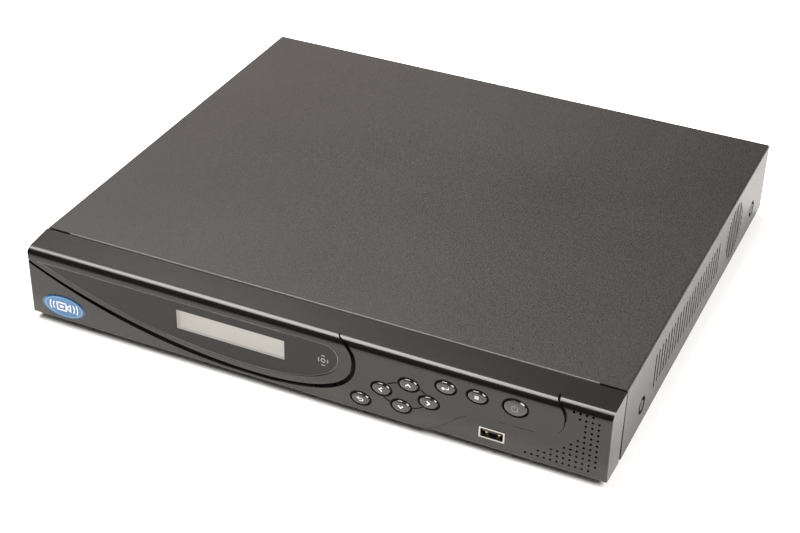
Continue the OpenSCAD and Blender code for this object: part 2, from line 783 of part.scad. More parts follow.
module switch_bodies() {
    color(plastic_dark) in_case() for (p = all_buttons) difference() {
        block([p[0] - switch_side / 2, switch_y, p[1] - switch_side / 2],
            [p[0] + switch_side / 2, key_board_y, p[1] + switch_side / 2]);
        rod_y(p, plunger_d + 2 * plunger_gap, switch_y - cut, key_board_y - 0.7);
    }
}

// A domed oval cap with a flange behind the fascia's wall and a stem on the switch plunger
module button(at, w, h) {
    flange_y = wall_back + 0.06;
    color(plastic_dark) in_case() union() {
        translate([at[0], front_y, at[1]]) hull() {
            along_y(-cap_dome, 0) polygon(oval(w * 0.45, h * 0.45));
            along_y(-cap_dome * 0.8, 0) polygon(oval(w * 0.74, h * 0.74));
            along_y(-cap_dome * 0.45, 0) polygon(oval(w * 0.92, h * 0.92));
            along_y(0.2, 1) polygon(oval(w, h));
        }
        along_y(front_y + 0.5, flange_y + 1) translate(at) polygon(oval(w, h));
        along_y(flange_y, flange_y + 1) translate(at) polygon(oval(w + 2.4, h + 2.4));
        rod_y(at, plunger_d + 0.6, flange_y, stem_y);
    }
}

module plunger(at) {
    color(white_plastic) in_case() rod_y(at, plunger_d, stem_y, key_board_y - 0.7 - button_travel - 0.1);
}

module escape_button() button(escape_at, cap_w, cap_h);
module left_button() button(left_at, cap_w, cap_h);
module up_button() button(up_at, cap_w, cap_h);
module down_button() button(down_at, cap_w, cap_h);
module right_button() button(right_at, cap_w, cap_h);
module enter_button() button(enter_at, cap_w, cap_h);
module function_button() button(function_at, cap_w, cap_h);
module power_button() button(power_at, power_w, power_h);
module escape_plunger() plunger(escape_at);
module left_plunger() plunger(left_at);
module up_plunger() plunger(up_at);
module down_plunger() plunger(down_at);
module right_plunger() plunger(right_at);
module enter_plunger() plunger(enter_at);
module function_plunger() plunger(function_at);
module power_plunger() plunger(power_at);

// Metal shell of a rectangular data port, with its mouth at y = mouth and flared lips
module port_shell(at, mouth, back, way) {
    y0 = min(mouth, back);
    y1 = max(mouth, back);
    difference() {
        union() {
            along_y(y0, y1) translate(at) square([port_w, port_h], center = true);
            along_y(mouth - (way < 0 ? 0 : 0.4), mouth + (way < 0 ? 0.4 : 0)) translate(at)
                square([port_w + 1.1, port_h + 0.9], center = true);
        }
        along_y(y0 - (way < 0 ? cut : -port_t), y1 + (way < 0 ? -port_t : cut)) translate(at)
            square([port_w - 2 * port_t, port_h - 2 * port_t], center = true);
    }
}

port_at = [port_x, port_z];
port_mouth = panel_y - 0.1;
port_back = port_mouth + 14;
rear_port_at = [rear_port_x, board_top + 3.4];
rear_port_mouth = case_d - sheet_t + 0.6;

module front_port_shell() {
    color(bare_steel) in_case() port_shell(port_at, port_mouth, port_back, -1);
}

module front_port_tongue() {
    color(plastic_dark) in_case() {
        along_y(port_mouth + 1.4, port_back - port_t) translate(port_at + [0, 0.9])
            square([11, 1.8], center = true);
        along_y(port_back - 3, port_back - port_t) translate(port_at)
            square([port_w - 2 * port_t, port_h - 2 * port_t], center = true);
    }
}

module infrared_receiver() {
    color(plastic_dark) in_case() {
        block([sensor_at[0] - 3, key_board_y - 4, sensor_at[1] - 3.5],
            [sensor_at[0] + 3, key_board_y, sensor_at[1] + 3.5]);
        rod_y(sensor_at, 4.6, key_board_y - 5.6, key_board_y - 3.5);
    }
}

// Flat cable from the key board, through the front sheet, to a socket on the main board
module front_cable() {
    socket_y = board_y + 8;
    path = [[key_board_back + 5, 20], [4, 20], [8, 17], [11, 6], [14, sheet_t + ribbon_t],
        [board_y - 12, sheet_t + ribbon_t], [board_y - 8, 8], [board_y - 3, 18],
        [socket_y - 3, 21], [socket_y + 1.6, 19], [socket_y + 2, board_top + 6]];
    color("#b8b8b4") in_case() {
        block([ribbon_x - ribbon_w / 2 - 1, key_board_back, 17],
            [ribbon_x + ribbon_w / 2 + 1, key_board_back + 5, 23]);
        along_x(ribbon_x - ribbon_w / 2, ribbon_x + ribbon_w / 2) polygon(strip(path, ribbon_t));
        block([ribbon_x - ribbon_w / 2 - 1, socket_y - 1, board_top],
            [ribbon_x + ribbon_w / 2 + 1, socket_y + 5, board_top + 6]);
    }
}

// ---------- main board ----------

module main_board() {
    color(board_green) in_case() difference() {
        block([board_x, board_y, board_z], [board_x + board_w, board_y + board_d, board_top]);
        for (p = board_holes) rod_z(p, screw_d + 2 * hole_gap, board_z - cut, board_top + cut);
    }
}

module board_standoffs() {
    color(brass) in_case() for (p = board_holes) difference() {
        translate([p[0], p[1], sheet_t]) cylinder(d = 6, h = standoff_h, $fn = 6);
        rod_z(p, screw_d, sheet_t - cut, board_z + cut);
    }
}

module board_screws() {
    color(bare_steel) in_case() {
        for (p = board_holes) translate([p[0], p[1], board_top]) screw(5);
        for (p = key_posts) {
            translate([p[0], key_board_back, p[1]]) rotate([-90, 0, 0]) screw(5, 2, 4.4);
        }
    }
}

module heat_sink() {
    side = 34;
    z0 = board_top + 1.6;
    color("#a9adb2") in_case() translate([processor_at[0] - side / 2, processor_at[1] - side / 2, z0]) {
        cube([side, side, 2.5]);
        for (i = [0:8]) translate([i * (side - 1.2) / 8, 0, 0]) cube([1.2, side, 12]);
    }
}

// Flat packages on the main board: processor, memory and video decoders
module board_chips() {
    memory = [for (i = [0:3]) [processor_at[0] + 30, processor_at[1] - 21 + i * 14]];
    decoders = [for (i = [0:3]) [coax_x + i * 22, board_y + 34]];
    color(plastic_dark) in_case() {
        translate([processor_at[0] - 12, processor_at[1] - 12, board_top]) cube([24, 24, 1.6]);
        for (p = memory) translate([p[0] - 6, p[1] - 4.5, board_top]) cube([12, 9, 1.2]);
        for (p = decoders) translate([p[0] - 7, p[1] - 7, board_top]) cube([14, 14, 1.4]);
    }
}

module capacitors() {
    places = concat(
        [for (i = [0:3]) [inlet_x - 16 + (i % 2) * 11, board_y + 50 + floor(i / 2) * 11]],
        [for (i = [0:5]) [board_x + 66 + i * 12, board_y + 56]]);
    color("#2c3e63") in_case() for (p = places) rod_z(p, 8, board_top, board_top + 11);
}

module coin_cell() {
    color(bare_steel) in_case() rod_z(cell_at, cell_d, board_top + 1.2, board_top + 1.2 + cell_t);
}

module cell_holder() {
    color(plastic_dark) in_case() difference() {
        rod_z(cell_at, cell_d + 4, board_top, board_top + 1.2 + cell_t);
        rod_z(cell_at, cell_d + 2 * hole_gap, board_top + 1.2, board_top + 3 + cell_t);
    }
}

// ---------- rear connectors ----------

// Coaxial jacks: a body behind the rear wall, a bush through it and a shell with two bayonet lugs
module coax_shells() {
    tip = case_d + coax_reach;
    color(bare_steel) in_case() for (p = coax_at) difference() {
        union() {
            rod_y(p, coax_d, rear_wall_front, tip);
            rod_y(p, coax_bush_d, rear_wall_front - 1, rear_wall_back + bush_reach);
            rod_y(p, coax_body_d, rear_wall_front - 12, rear_wall_front);
            rod_z([p[0], tip - 3.5], 1.9, p[1] - coax_d / 2 - 0.8, p[1] + coax_d / 2 + 0.8);
        }
        rod_y(p, coax_d - 1.5, tip - 8, tip + cut);
    }
}

module coax_cores() {
    tip = case_d + coax_reach;
    color(white_plastic) in_case() for (p = coax_at) difference() {
        rod_y(p, 4.8, tip - 8, tip - 1.5);
        rod_y(p, 1.4, tip - 6, tip);
    }
}

// Audio jacks: one moulded block with a bush and a sleeve for each jack
module audio_jacks() {
    tip = case_d + 7;
    color(plastic_dark) in_case() {
        block([audio_x - 6, rear_wall_front - 12, board_top],
            [audio_x + audio_pitch + 6, rear_wall_front, jack_z + audio_pitch + 6]);
        for (p = audio_at) difference() {
            union() {
                rod_y(p, audio_bush_d, rear_wall_front, rear_wall_back + bush_reach);
                rod_y(p, audio_d, rear_wall_front, tip);
            }
            rod_y(p, 3.2, rear_wall_front + 0.5, tip + cut);
            difference() {
                rod_y(p, audio_d - 1, rear_wall_back + 1, tip + cut);
                rod_y(p, 5, rear_wall_back, tip - 0.5);
            }
        }
    }
}

// Network jack: a metal box with an open mouth that faces the rear
module network_jack() {
    w = 16;
    h = 13.5;
    color(bare_steel) in_case() difference() {
        block([network_x - w / 2, rear_wall_front - 19, board_top],
            [network_x + w / 2, case_d - 0.4, board_top + h]);
        block([network_x - 6, rear_wall_front - 12, board_top + 2.6],
            [network_x + 6, case_d + cut, board_top + 10.6]);
        block([network_x - 3, rear_wall_front - 12, board_top + 2],
            [network_x + 3, case_d + cut, board_top + 12]);
    }
}

// Screen port: a flange, a block with slanted sides and three rows of contacts, and two hex posts
module screen_port() {
    post = 12.5;
    face = rear_wall_back + 0.6;
    color(bare_steel) in_case() {
        difference() {
            union() {
                block([screen_x - 15.5, rear_wall_front - 12, board_top],
                    [screen_x + 15.5, face, board_top + 12]);
                along_y(face, face + 5.8) translate([screen_x, jack_z])
                    polygon([[-8.4, 4.1], [8.4, 4.1], [7.2, -4.1], [-7.2, -4.1]]);
            }
            for (k = [-1:1], i = [-2:2]) {
                rod_y([screen_x + i * 2.3 + k * 0.6, jack_z + k * 2], 1, face, face + 5.8 + cut);
            }
            for (s = [-1, 1]) rod_y([screen_x + s * post, jack_z], 2.8, face - 4, face + cut);
        }
        for (s = [-1, 1]) difference() {
            translate([screen_x + s * post, face + 5, jack_z]) rotate([90, 0, 0])
                cylinder(d = 5.4, h = 5, $fn = 6);
            rod_y([screen_x + s * post, jack_z], 2.8, face - cut, face + 6);
        }
    }
}

// Digital port: a flat shell with a tongue inside
module digital_port() {
    z = board_top + 3;
    color(bare_steel) in_case() {
        difference() {
            block([digital_x - 7.5, rear_wall_front - 10, board_top],
                [digital_x + 7.5, rear_wall_back + 1, board_top + 6]);
            along_y(rear_wall_front - 8, case_d + cut) translate([digital_x, z])
                polygon([[-7, 2.4], [7, 2.4], [7, -0.4], [5.4, -2.3], [-5.4, -2.3], [-7, -0.4]]);
        }
        block([digital_x - 5.6, rear_wall_front - 8, z - 0.4],
            [digital_x + 5.6, rear_wall_back - 0.6, z + 0.5]);
    }
}

module rear_port_shell() {
    color(bare_steel) in_case() port_shell(rear_port_at, rear_port_mouth + 0.6, rear_port_mouth - 13.4, 1);
}

module rear_port_tongue() {
    color(plastic_dark) in_case() {
        along_y(rear_port_mouth - 13.4 + port_t, rear_port_mouth - 1) translate(rear_port_at + [0, 0.9])
            square([11, 1.8], center = true);
        along_y(rear_port_mouth - 13.4 + port_t, rear_port_mouth - 10.4) translate(rear_port_at)
            square([port_w - 2 * port_t, port_h - 2 * port_t], center = true);
    }
}

// Power inlet: a block with a round bore and a pin in its middle
module power_inlet() {
    at = [inlet_x, board_top + 5.5];
    color(plastic_dark) in_case() {
        difference() {
            block([inlet_x - 4.5, rear_wall_front - 13, board_top],
                [inlet_x + 4.5, rear_wall_back + 0.8, board_top + 11]);
            rod_y(at, inlet_bore, rear_wall_front - 9, case_d + cut);
        }
        rod_y(at, 2, rear_wall_front - 9, rear_wall_back - 0.5);
    }
}

// Terminal block: eight wire entries with a clamp screw above each
module terminal_block() {
    color("#3c9a4e") in_case() difference() {
        block([terminal_x - 14, rear_wall_front - 10, board_top],
            [terminal_x + 14, rear_wall_back + 1.5, board_top + 9]);
        for (i = [0:7]) {
            x = terminal_x - 12.25 + i * 3.5;
            block([x - 1.2, rear_wall_front - 6, board_top + 1.6], [x + 1.2, case_d + cut, board_top + 4.4]);
            rod_z([x, rear_wall_front - 4], 2.4, board_top + 5.5, board_top + 10);
        }
    }
}

// ---------- hard drive ----------

module drive_casting() {
    top = drive_z + drive_h - drive_skin;
    color("#8d9196") in_case() difference() {
        along_z(drive_z, top) polygon(rounded(drive_x, drive_y, drive_x + drive_w, drive_y + drive_l, 2));
        block([drive_x + 12, drive_y + drive_l - 108, drive_z - cut],
            [drive_x + drive_w - 12, drive_y + drive_l + cut, drive_z + drive_pocket]);
        for (p = drive_seats) rod_z(p, screw_d, drive_z - cut, drive_z + 5);
        block([drive_x + 4, drive_y + 4, drive_z + 8],
            [drive_x + drive_w - 4, drive_y + drive_l - 6, top + cut]);
    }
}

module drive_lid() {
    z = drive_z + drive_h - drive_skin;
    color(bare_steel) in_case() along_z(z, z + drive_skin)
        polygon(rounded(drive_x + 1.5, drive_y + 1.5, drive_x + drive_w - 1.5, drive_y + drive_l - 1.5, 4));
}

// The drive's board and its socket, in the pocket under the casting
module drive_board() {
    z1 = drive_z + drive_pocket;
    color(board_green) in_case() {
        block([drive_x + 13, drive_y + drive_l - 107, z1 - board_t],
            [drive_x + drive_w - 13, drive_y + drive_l - 1, z1]);
        block([drive_mid - 22, drive_y + drive_l - 7, drive_z - 1],
            [drive_mid + 22, drive_y + drive_l, z1 - board_t]);
    }
}

module drive_screws() {
    color(bare_steel) in_case() for (p = drive_seats) {
        translate([p[0], p[1], drive_z - sheet_t]) rotate([180, 0, 0]) screw(4);
    }
}

// Data and power leads from the drive to the main board
module drive_cables() {
    y0 = drive_y + drive_l;
    socket_y = board_y + 8;
    for (lead = [[-12, 10, "#a33a2c"], [10, 18, "#2a2a2a"]]) {
        x = drive_mid + lead[0];
        w = lead[1];
        path = [[y0 + 5, drive_z + 0.8], [y0 + 8, drive_z + 1.2], [y0 + 11, drive_z + 5],
            [y0 + 14, drive_z + 12], [socket_y - 3, drive_z + 17], [socket_y + 1.4, drive_z + 15],
            [socket_y + 2, board_top + 7]];
        color(lead[2]) in_case() {
            block([x - w / 2 - 1, y0, drive_z - 1], [x + w / 2 + 1, y0 + 5, drive_z + 3]);
            along_x(x - w / 2, x + w / 2) polygon(strip(path, 1.2));
            block([x - w / 2 - 1, socket_y - 1, board_top], [x + w / 2 + 1, socket_y + 5, board_top + 7]);
        }
    }
}

// ---------- fan ----------

// Square frame with a round duct, and a motor seat on three struts at its inner face
module fan_frame() {
    r = fan_size / 2;
    color(plastic_dark) in_case() translate([fan_x, fan_y, fan_z]) {
        along_x(0, fan_t) difference() {
            polygon(rounded(-r, -r, r, r, 3));
            circle(d = fan_bore, $fn = 64);
            for (p = fan_holes) translate(p - [fan_y, fan_z]) circle(d = screw_d);
        }
        along_x(0, fan_seat_t) difference() {
            union() {
                circle(d = 16);
                for (a = [30, 150, 270]) rotate(a) translate([7, -1.2]) square([fan_bore / 2 - 6.6, 2.4]);
            }
            circle(d = fan_shaft_d + 2 * fan_shaft_gap);
        }
    }
}

// Rotor: a hub on a shaft, with seven slanted blades
module fan_rotor() {
    blades = 7;
    tip_r = fan_bore / 2 - tip_gap;
    color("#26282b") in_case() translate([fan_x, fan_y, fan_z]) {
        rod_x([0, 0], 18, fan_seat_t + 0.5, fan_t - 0.6);
        rod_x([0, 0], fan_shaft_d, 0.1, fan_seat_t + 1);
        intersection() {
            rod_x([0, 0], 2 * tip_r, fan_seat_t + 0.5, fan_t - 1);
            for (i = [0:blades - 1]) rotate([i * 360 / blades, 0, 0])
                translate([fan_t / 2 + 0.6, 0, 8]) rotate([0, 0, 38])
                    translate([-7, -0.6, 0]) cube([14, 1.2, tip_r]);
        }
    }
}

module fan_screws() {
    color(bare_steel) in_case() for (p = fan_holes) {
        translate([tray_half, p[0], p[1]]) rotate([0, 90, 0]) screw(9);
    }
}

// ---------- what is drawn ----------

base_tray();
top_cover();
case_screws();
feet();
front_fascia();
display_surround();
display_overlay();
window_lens();
badge();
display_glass();
display_frame();
display_board();
key_board();
switch_bodies();
escape_button();
left_button();
up_button();
down_button();
right_button();
enter_button();
function_button();
power_button();
escape_plunger();
left_plunger();
up_plunger();
down_plunger();
right_plunger();
enter_plunger();
function_plunger();
power_plunger();
front_port_shell();
front_port_tongue();
infrared_receiver();
front_cable();
main_board();
board_standoffs();
board_screws();
heat_sink();
board_chips();
capacitors();
coin_cell();
cell_holder();
coax_shells();
coax_cores();
audio_jacks();
network_jack();
screen_port();
digital_port();
rear_port_shell();
rear_port_tongue();
power_inlet();
terminal_block();
drive_casting();
drive_lid();
drive_board();
drive_screws();
drive_cables();
fan_frame();
fan_rotor();
fan_screws();
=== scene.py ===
"""Video recorder: a folded steel case with a moulded fascia, dressed for the studio.

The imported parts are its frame. Each section takes the next piece, from the outside in.
"""
import math

import bmesh
import bpy
from mathutils import Matrix, Vector
from mathutils.bvhtree import BVHTree


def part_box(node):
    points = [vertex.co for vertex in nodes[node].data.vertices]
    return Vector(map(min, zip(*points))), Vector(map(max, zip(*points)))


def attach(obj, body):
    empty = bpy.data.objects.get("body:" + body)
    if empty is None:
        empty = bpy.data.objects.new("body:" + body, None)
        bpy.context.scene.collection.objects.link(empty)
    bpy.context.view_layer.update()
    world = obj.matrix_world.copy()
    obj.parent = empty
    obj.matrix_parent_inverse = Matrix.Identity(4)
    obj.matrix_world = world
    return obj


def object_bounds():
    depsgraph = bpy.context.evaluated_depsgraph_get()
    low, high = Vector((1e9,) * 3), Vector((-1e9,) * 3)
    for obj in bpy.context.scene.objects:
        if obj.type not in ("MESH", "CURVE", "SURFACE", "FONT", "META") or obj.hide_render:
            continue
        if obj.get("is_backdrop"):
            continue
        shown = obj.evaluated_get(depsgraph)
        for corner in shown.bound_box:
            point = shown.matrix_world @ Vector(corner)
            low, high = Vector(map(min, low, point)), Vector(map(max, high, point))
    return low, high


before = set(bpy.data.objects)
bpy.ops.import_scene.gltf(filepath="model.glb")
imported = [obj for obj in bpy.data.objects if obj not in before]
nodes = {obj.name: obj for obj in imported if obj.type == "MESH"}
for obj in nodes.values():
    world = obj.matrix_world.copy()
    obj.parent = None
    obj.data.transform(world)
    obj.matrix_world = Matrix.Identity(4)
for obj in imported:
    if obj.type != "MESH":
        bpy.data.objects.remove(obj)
cad_low, cad_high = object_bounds()
scene = bpy.context.scene

# ---------------------------------------------------------------------------------------------
# Camera: a standing person's view down on the front right corner, through a short telephoto
# lens, with the camera turned a little off level.
# ---------------------------------------------------------------------------------------------
camera_data = bpy.data.cameras.new("studio_camera")
camera_data.sensor_width = 36
camera_data.lens = 75.51
camera_data.clip_start = 0.05
camera = bpy.data.objects.new("studio_camera", camera_data)
turn, rise, tilt = (math.radians(a) for a in (24.102, 33.282, 1.277))
back = Vector((math.sin(turn) * math.cos(rise), -math.cos(turn) * math.cos(rise), math.sin(rise)))
across = Vector((math.cos(turn), math.sin(turn), 0))
upward = back.cross(across)
camera.matrix_world = Matrix.Translation((0.3391, -0.7866, 0.5557)) @ Matrix((
    math.cos(tilt) * across + math.sin(tilt) * upward,
    -math.sin(tilt) * across + math.cos(tilt) * upward,
    back,
)).transposed().to_4x4()
scene.collection.objects.link(camera)
scene.camera = camera

# ---------------------------------------------------------------------------------------------
# Studio: a white sweep that is lit past white, a large softbox overhead to the left, a smaller
# one on the right, and a dim room in front, which the satin plastic shows below its ridge.
# ---------------------------------------------------------------------------------------------
scene.view_settings.view_transform = "Standard"
scene.view_settings.look = "None"

floor_mesh = bpy.data.meshes.new("studio_floor")
floor_mesh.from_pydata([(-6, -6, 0), (6, -6, 0), (6, 6, 0), (-6, 6, 0)], [], [(0, 1, 2, 3)])
floor = bpy.data.objects.new("studio_floor", floor_mesh)
scene.collection.objects.link(floor)
paper = bpy.data.materials.new("paper_sweep")
paper.use_nodes = True
paper_shader = paper.node_tree.nodes["Principled BSDF"]
paper_shader.inputs["Base Color"].default_value = (0.88, 0.87, 0.85, 1)
paper_shader.inputs["Roughness"].default_value = 0.9
paper_shader.inputs["Specular IOR Level"].default_value = 0.1
floor_mesh.materials.append(paper)
floor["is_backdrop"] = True


def softbox(name, place, aim, width, depth, watts, colour):
    """A rectangular studio light at place, pointed at aim."""
    data = bpy.data.lights.new(name, "AREA")
    data.shape = "RECTANGLE"
    data.size, data.size_y = width, depth
    data.energy = watts
    data.color = colour
    lamp = bpy.data.objects.new(name, data)
    heading = (Vector(aim) - Vector(place)).to_track_quat("-Z", "Y")
    lamp.matrix_world = Matrix.Translation(place) @ heading.to_matrix().to_4x4()
    lamp.visible_camera = False
    scene.collection.objects.link(lamp)


softbox("overhead_softbox", (-1.0, 0.3, 2.6), (-0.1, 0, 0), 1.9, 1.7, 165, (1, 0.985, 0.96))
softbox("right_softbox", (1.7, -0.9, 1.9), (0, -0.1, 0), 1.3, 1.3, 95, (1, 0.99, 0.98))

room = bpy.data.worlds.new("studio_room")
room.use_nodes = True
scene.world = room


def room_node(kind, settings, values, out=0):
    """A node of the room's light, with its inputs set or linked."""
    made = room.node_tree.nodes.new("ShaderNode" + kind)
    for key, value in settings.items():
        setattr(made, key, value)
    for key, value in values.items():
        if isinstance(value, bpy.types.NodeSocket):
            room.node_tree.links.new(value, made.inputs[key])
        else:
            made.inputs[key].default_value = value
    return made.outputs[out]


def room_ramp(value, stops):
    """Light along one direction. Each stop is a direction from -1 to 1, and a colour there."""
    share = room_node("MapRange", {}, {0: value, 1: -1.0, 2: 1.0})
    shades = room_node("ValToRGB", {}, {0: share})
    ramp = shades.node.color_ramp.elements
    for i, (place, colour) in enumerate(stops):
        stop = ramp[i] if i < 2 else ramp.new(place * 0.5 + 0.5)
        stop.position, stop.color = place * 0.5 + 0.5, (*colour, 1)
    return shades


direction = room_node("SeparateXYZ", {}, {0: room_node("TexCoord", {}, {})}).node.outputs
front_to_back = room_ramp(direction[1], [(-1.0, (0.12, 0.12, 0.12)), (0.1, (0.2, 0.2, 0.2)),
                                         (0.5, (0.85, 0.85, 0.85)), (0.85, (1.0, 1.0, 1.0))])
left_to_right = room_ramp(direction[0], [(-0.6, (0.66, 0.58, 0.54)), (-0.36, (0.82, 0.74, 0.69)),
                                         (-0.2, (0.24, 0.225, 0.225)), (0.3, (0.3, 0.3, 0.31))])
both = room_node("Mix", {"data_type": "RGBA", "blend_type": "MULTIPLY"},
                 {0: 1.0, 6: front_to_back, 7: left_to_right}, out=2)
sky = room.node_tree.nodes["Background"]
room.node_tree.links.new(both, sky.inputs["Color"])
sky.inputs["Strength"].default_value = 1.25

# ---------------------------------------------------------------------------------------------
# Top cover: 1 mm sheet steel, slotted and folded into a shallow U, with its front edge rolled
# over, then sprayed with a charcoal polyester powder that bakes to a fine pebbled skin.
# ---------------------------------------------------------------------------------------------


class Socket:
    """An output of a finish's node. Arithmetic on it adds Math nodes."""

    def __init__(self, finish, out):
        self.finish, self.out = finish, out

    def math(self, operation, *values):
        return self.finish.node("Math", {"operation": operation}, dict(enumerate(values)))

    def __add__(self, other):
        return self.math("ADD", self, other)

    def __sub__(self, other):
        return self.math("SUBTRACT", self, other)

    def __rsub__(self, other):
        return self.math("SUBTRACT", other, self)

    def __mul__(self, other):
        return self.math("MULTIPLY", self, other)

    def __truediv__(self, other):
        return self.math("DIVIDE", self, other)

    def __pow__(self, other):
        return self.math("POWER", self, other)

    def __gt__(self, other):
        return self.math("GREATER_THAN", self, other)

    def __lt__(self, other):
        return self.math("LESS_THAN", self, other)

    def __abs__(self):
        return self.math("ABSOLUTE", self)

    __radd__, __rmul__ = __add__, __mul__


class Finish:
    """A surface finish: one material, whose nodes are added a call at a time."""

    def __init__(self, name, constants):
        self.material = bpy.data.materials.new(name)
        self.material.use_nodes = True
        self.shader = self.material.node_tree.nodes["Principled BSDF"]
        for socket, value in constants.items():
            self.shader.inputs[socket].default_value = value
        self.here = self.node("TexCoord", {}, {}, out="Object")
        split = self.node("SeparateXYZ", {}, {0: self.here})
        outs = split.out.node.outputs
        self.x, self.y, self.z = (Socket(self, outs[i]) for i in range(3))

    def node(self, kind, settings, values, out=0):
        """A node with its settings and stops set, then its sockets given values or links."""
        made = self.material.node_tree.nodes.new("ShaderNode" + kind)
        for key, value in settings.items():
            if key == "stops":
                ramp = made.color_ramp.elements
                for i, (place, colour) in enumerate(value):
                    stop = ramp[i] if i < 2 else ramp.new(place)
                    stop.position, stop.color = place, (*colour, 1)
            else:
                setattr(made, key, value)
        for key, value in values.items():
            if isinstance(value, Socket):
                self.material.node_tree.links.new(value.out, made.inputs[key])
            else:
                made.inputs[key].default_value = value
        return Socket(self, made.outputs[out])

    def noise(self, scale, detail=2.0, stretch=(1, 1, 1)):
        """Soft noise, from 0 to 1, at so many grains to the metre."""
        where = self.node("Mapping", {}, {"Vector": self.here, "Scale": stretch})
        return self.node("TexNoise", {}, {"Vector": where, "Scale": scale, "Detail": detail})

    def cells(self, scale, out="Distance"):
        """Distance to the nearest point, or the colour of its cell, in a field of random points."""
        return self.node("TexVoronoi", {}, {"Vector": self.here, "Scale": scale}, out)

    def ramp(self, value, *stops):
        return self.node("ValToRGB", {"stops": stops}, {0: value})

    def blend(self, share, first, second):
        """A colour between first and second."""
        values = {0: share, 6: first if isinstance(first, Socket) else (*first, 1),
                  7: second if isinstance(second, Socket) else (*second, 1)}
        return self.node("Mix", {"data_type": "RGBA"}, values, out=2)

    def feed(self, **sockets):
        """Links values to the shader's sockets, by name with underscores for spaces."""
        for name, value in sockets.items():
            self.material.node_tree.links.new(value.out, self.shader.inputs[name.replace("_", " ")])

    def bump(self, height, depth, strength=1.0):
        """Raises the surface by height times depth, in metres."""
        self.feed(Normal=self.node("Bump", {}, {
            "Strength": strength, "Distance": depth, "Height": height}))

    def on(self, *names):
        """Puts the finish on CAD nodes."""
        for name in names:
            for place in nodes[name].material_slots:
                place.material = self.material


powder = Finish("charcoal_powder_coat", {"Specular IOR Level": 0.5})
pebbles = powder.noise(1500, 2)
drift = powder.noise(9, 2)
specks = powder.cells(42) < 0.011
painted_highlight_end = 0.0229  # metres behind the recorder's foremost point
# The cover's front band is painted a paler colour: a painted highlight along its rolled front edge.
painted_edge_highlight = powder.y < cad_low.y + painted_highlight_end
powder.feed(
    Base_Color=powder.blend(specks + painted_edge_highlight * 0.36, powder.ramp(
        pebbles * 0.85 + drift * 0.15, (0.38, (0.0015, 0.0013, 0.0012)), (0.62, (0.0235, 0.0214, 0.0202))),
        (0.12, 0.115, 0.11)),
    Roughness=0.27 + pebbles * 0.12 + drift * 0.03)
powder.bump(pebbles + powder.cells(1100) * 0.6, 0.00013, 0.7)
powder.on("top_cover")

# ---------------------------------------------------------------------------------------------
# Tray: zinc-coated steel sheet, bent up on four sides and tabbed for the side screws. The zinc
# keeps a faint spangle and the roller's lines.
# ---------------------------------------------------------------------------------------------
zinc = Finish("zinc_coated_sheet", {"Metallic": 1.0})
spangle = zinc.cells(190, out="Color")
rolling = zinc.noise(70, 4, (40, 1, 40))
zinc.feed(
    Base_Color=zinc.blend(rolling, zinc.blend(0.07, (0.17, 0.172, 0.175), spangle), (0.27, 0.272, 0.275)),
    Roughness=0.34 + rolling * 0.14)
zinc.bump(rolling, 0.00003, 0.4)
zinc.on("base_tray")

# ---------------------------------------------------------------------------------------------
# Case screws: M3 pan heads, four in pressed dimples in the sides and three along the rear
# flange. They are steel, blackened so that they disappear against the cover.
# ---------------------------------------------------------------------------------------------
blackened = Finish("blackened_screw", {"Metallic": 1.0})
plating = blackened.noise(2200, 2)
blackened.feed(Base_Color=blackened.blend(plating, (0.045, 0.044, 0.046), (0.11, 0.108, 0.11)),
               Roughness=0.26 + plating * 0.2)
blackened.on("case_screws")

# ---------------------------------------------------------------------------------------------
# Feet: four pressed rubber discs with a hollow for the fixing, with a faint dusty bloom.
# ---------------------------------------------------------------------------------------------
rubber = Finish("black_rubber", {"Specular IOR Level": 0.3})
bloom = rubber.noise(1800, 4)
rubber.feed(Base_Color=rubber.blend(bloom, (0.012, 0.012, 0.012), (0.04, 0.038, 0.036)),
            Roughness=0.72 + bloom * 0.2)
rubber.bump(bloom, 0.00006, 0.6)
rubber.on("feet")

# ---------------------------------------------------------------------------------------------
# Fascia and display surround: injection-moulded ABS, black through and through. The tool was
# spark-eroded, so the skin is satin with a very fine grain. It is painted a shade greyer along its
# foot, a painted reflection of the bright floor.
# ---------------------------------------------------------------------------------------------
satin = Finish("satin_moulded_plastic", {"Specular IOR Level": 0.42})
grain = satin.noise(3600, 2)
flow = satin.noise(14, 3, (1, 2, 3))
# The fascia is painted lighter towards its foot: a painted reflection of the bright floor.
reflection_top, reflection_bottom = 0.021, 0.008  # heights between which the grey foot comes in
painted_floor_reflection = satin.node("MapRange", {"interpolation_type": "SMOOTHSTEP"},
                  {0: satin.z, 1: reflection_top, 2: reflection_bottom})
satin.feed(
    Base_Color=satin.blend(
        painted_floor_reflection, satin.blend(flow, (0.0022, 0.002, 0.0019), (0.0042, 0.0038, 0.0036)), (0.030, 0.0275, 0.026)),
    Roughness=0.17 + grain * 0.07 + flow * 0.04)
satin.bump(grain, 0.000012, 0.4)
satin.on("front_fascia", "display_surround")

# ---------------------------------------------------------------------------------------------
# Display overlay: a half-millimetre polyester sheet with fine matt texture, printed black from
# behind. Its die-cut edge stays clear, and its side faces are painted light grey as a painted
# highlight, a thin light line along the edge.
# ---------------------------------------------------------------------------------------------
film = Finish("printed_overlay_film", {"Specular IOR Level": 0.27})
tooth = film.noise(5200, 2)
facing = film.node("NewGeometry", {}, {}, out="Normal")
sideways = film.node("SeparateXYZ", {}, {0: facing}, out=1)
# Faces that do not face the front are painted light grey: a painted highlight along the sheet's edge.
film.feed(
    Base_Color=film.blend(sideways > -0.6, (0.004, 0.0037, 0.0035), (0.32, 0.31, 0.29)),
    Roughness=0.24 + tooth * 0.08)
film.bump(tooth, 0.00002, 0.4)
film.on("display_overlay")

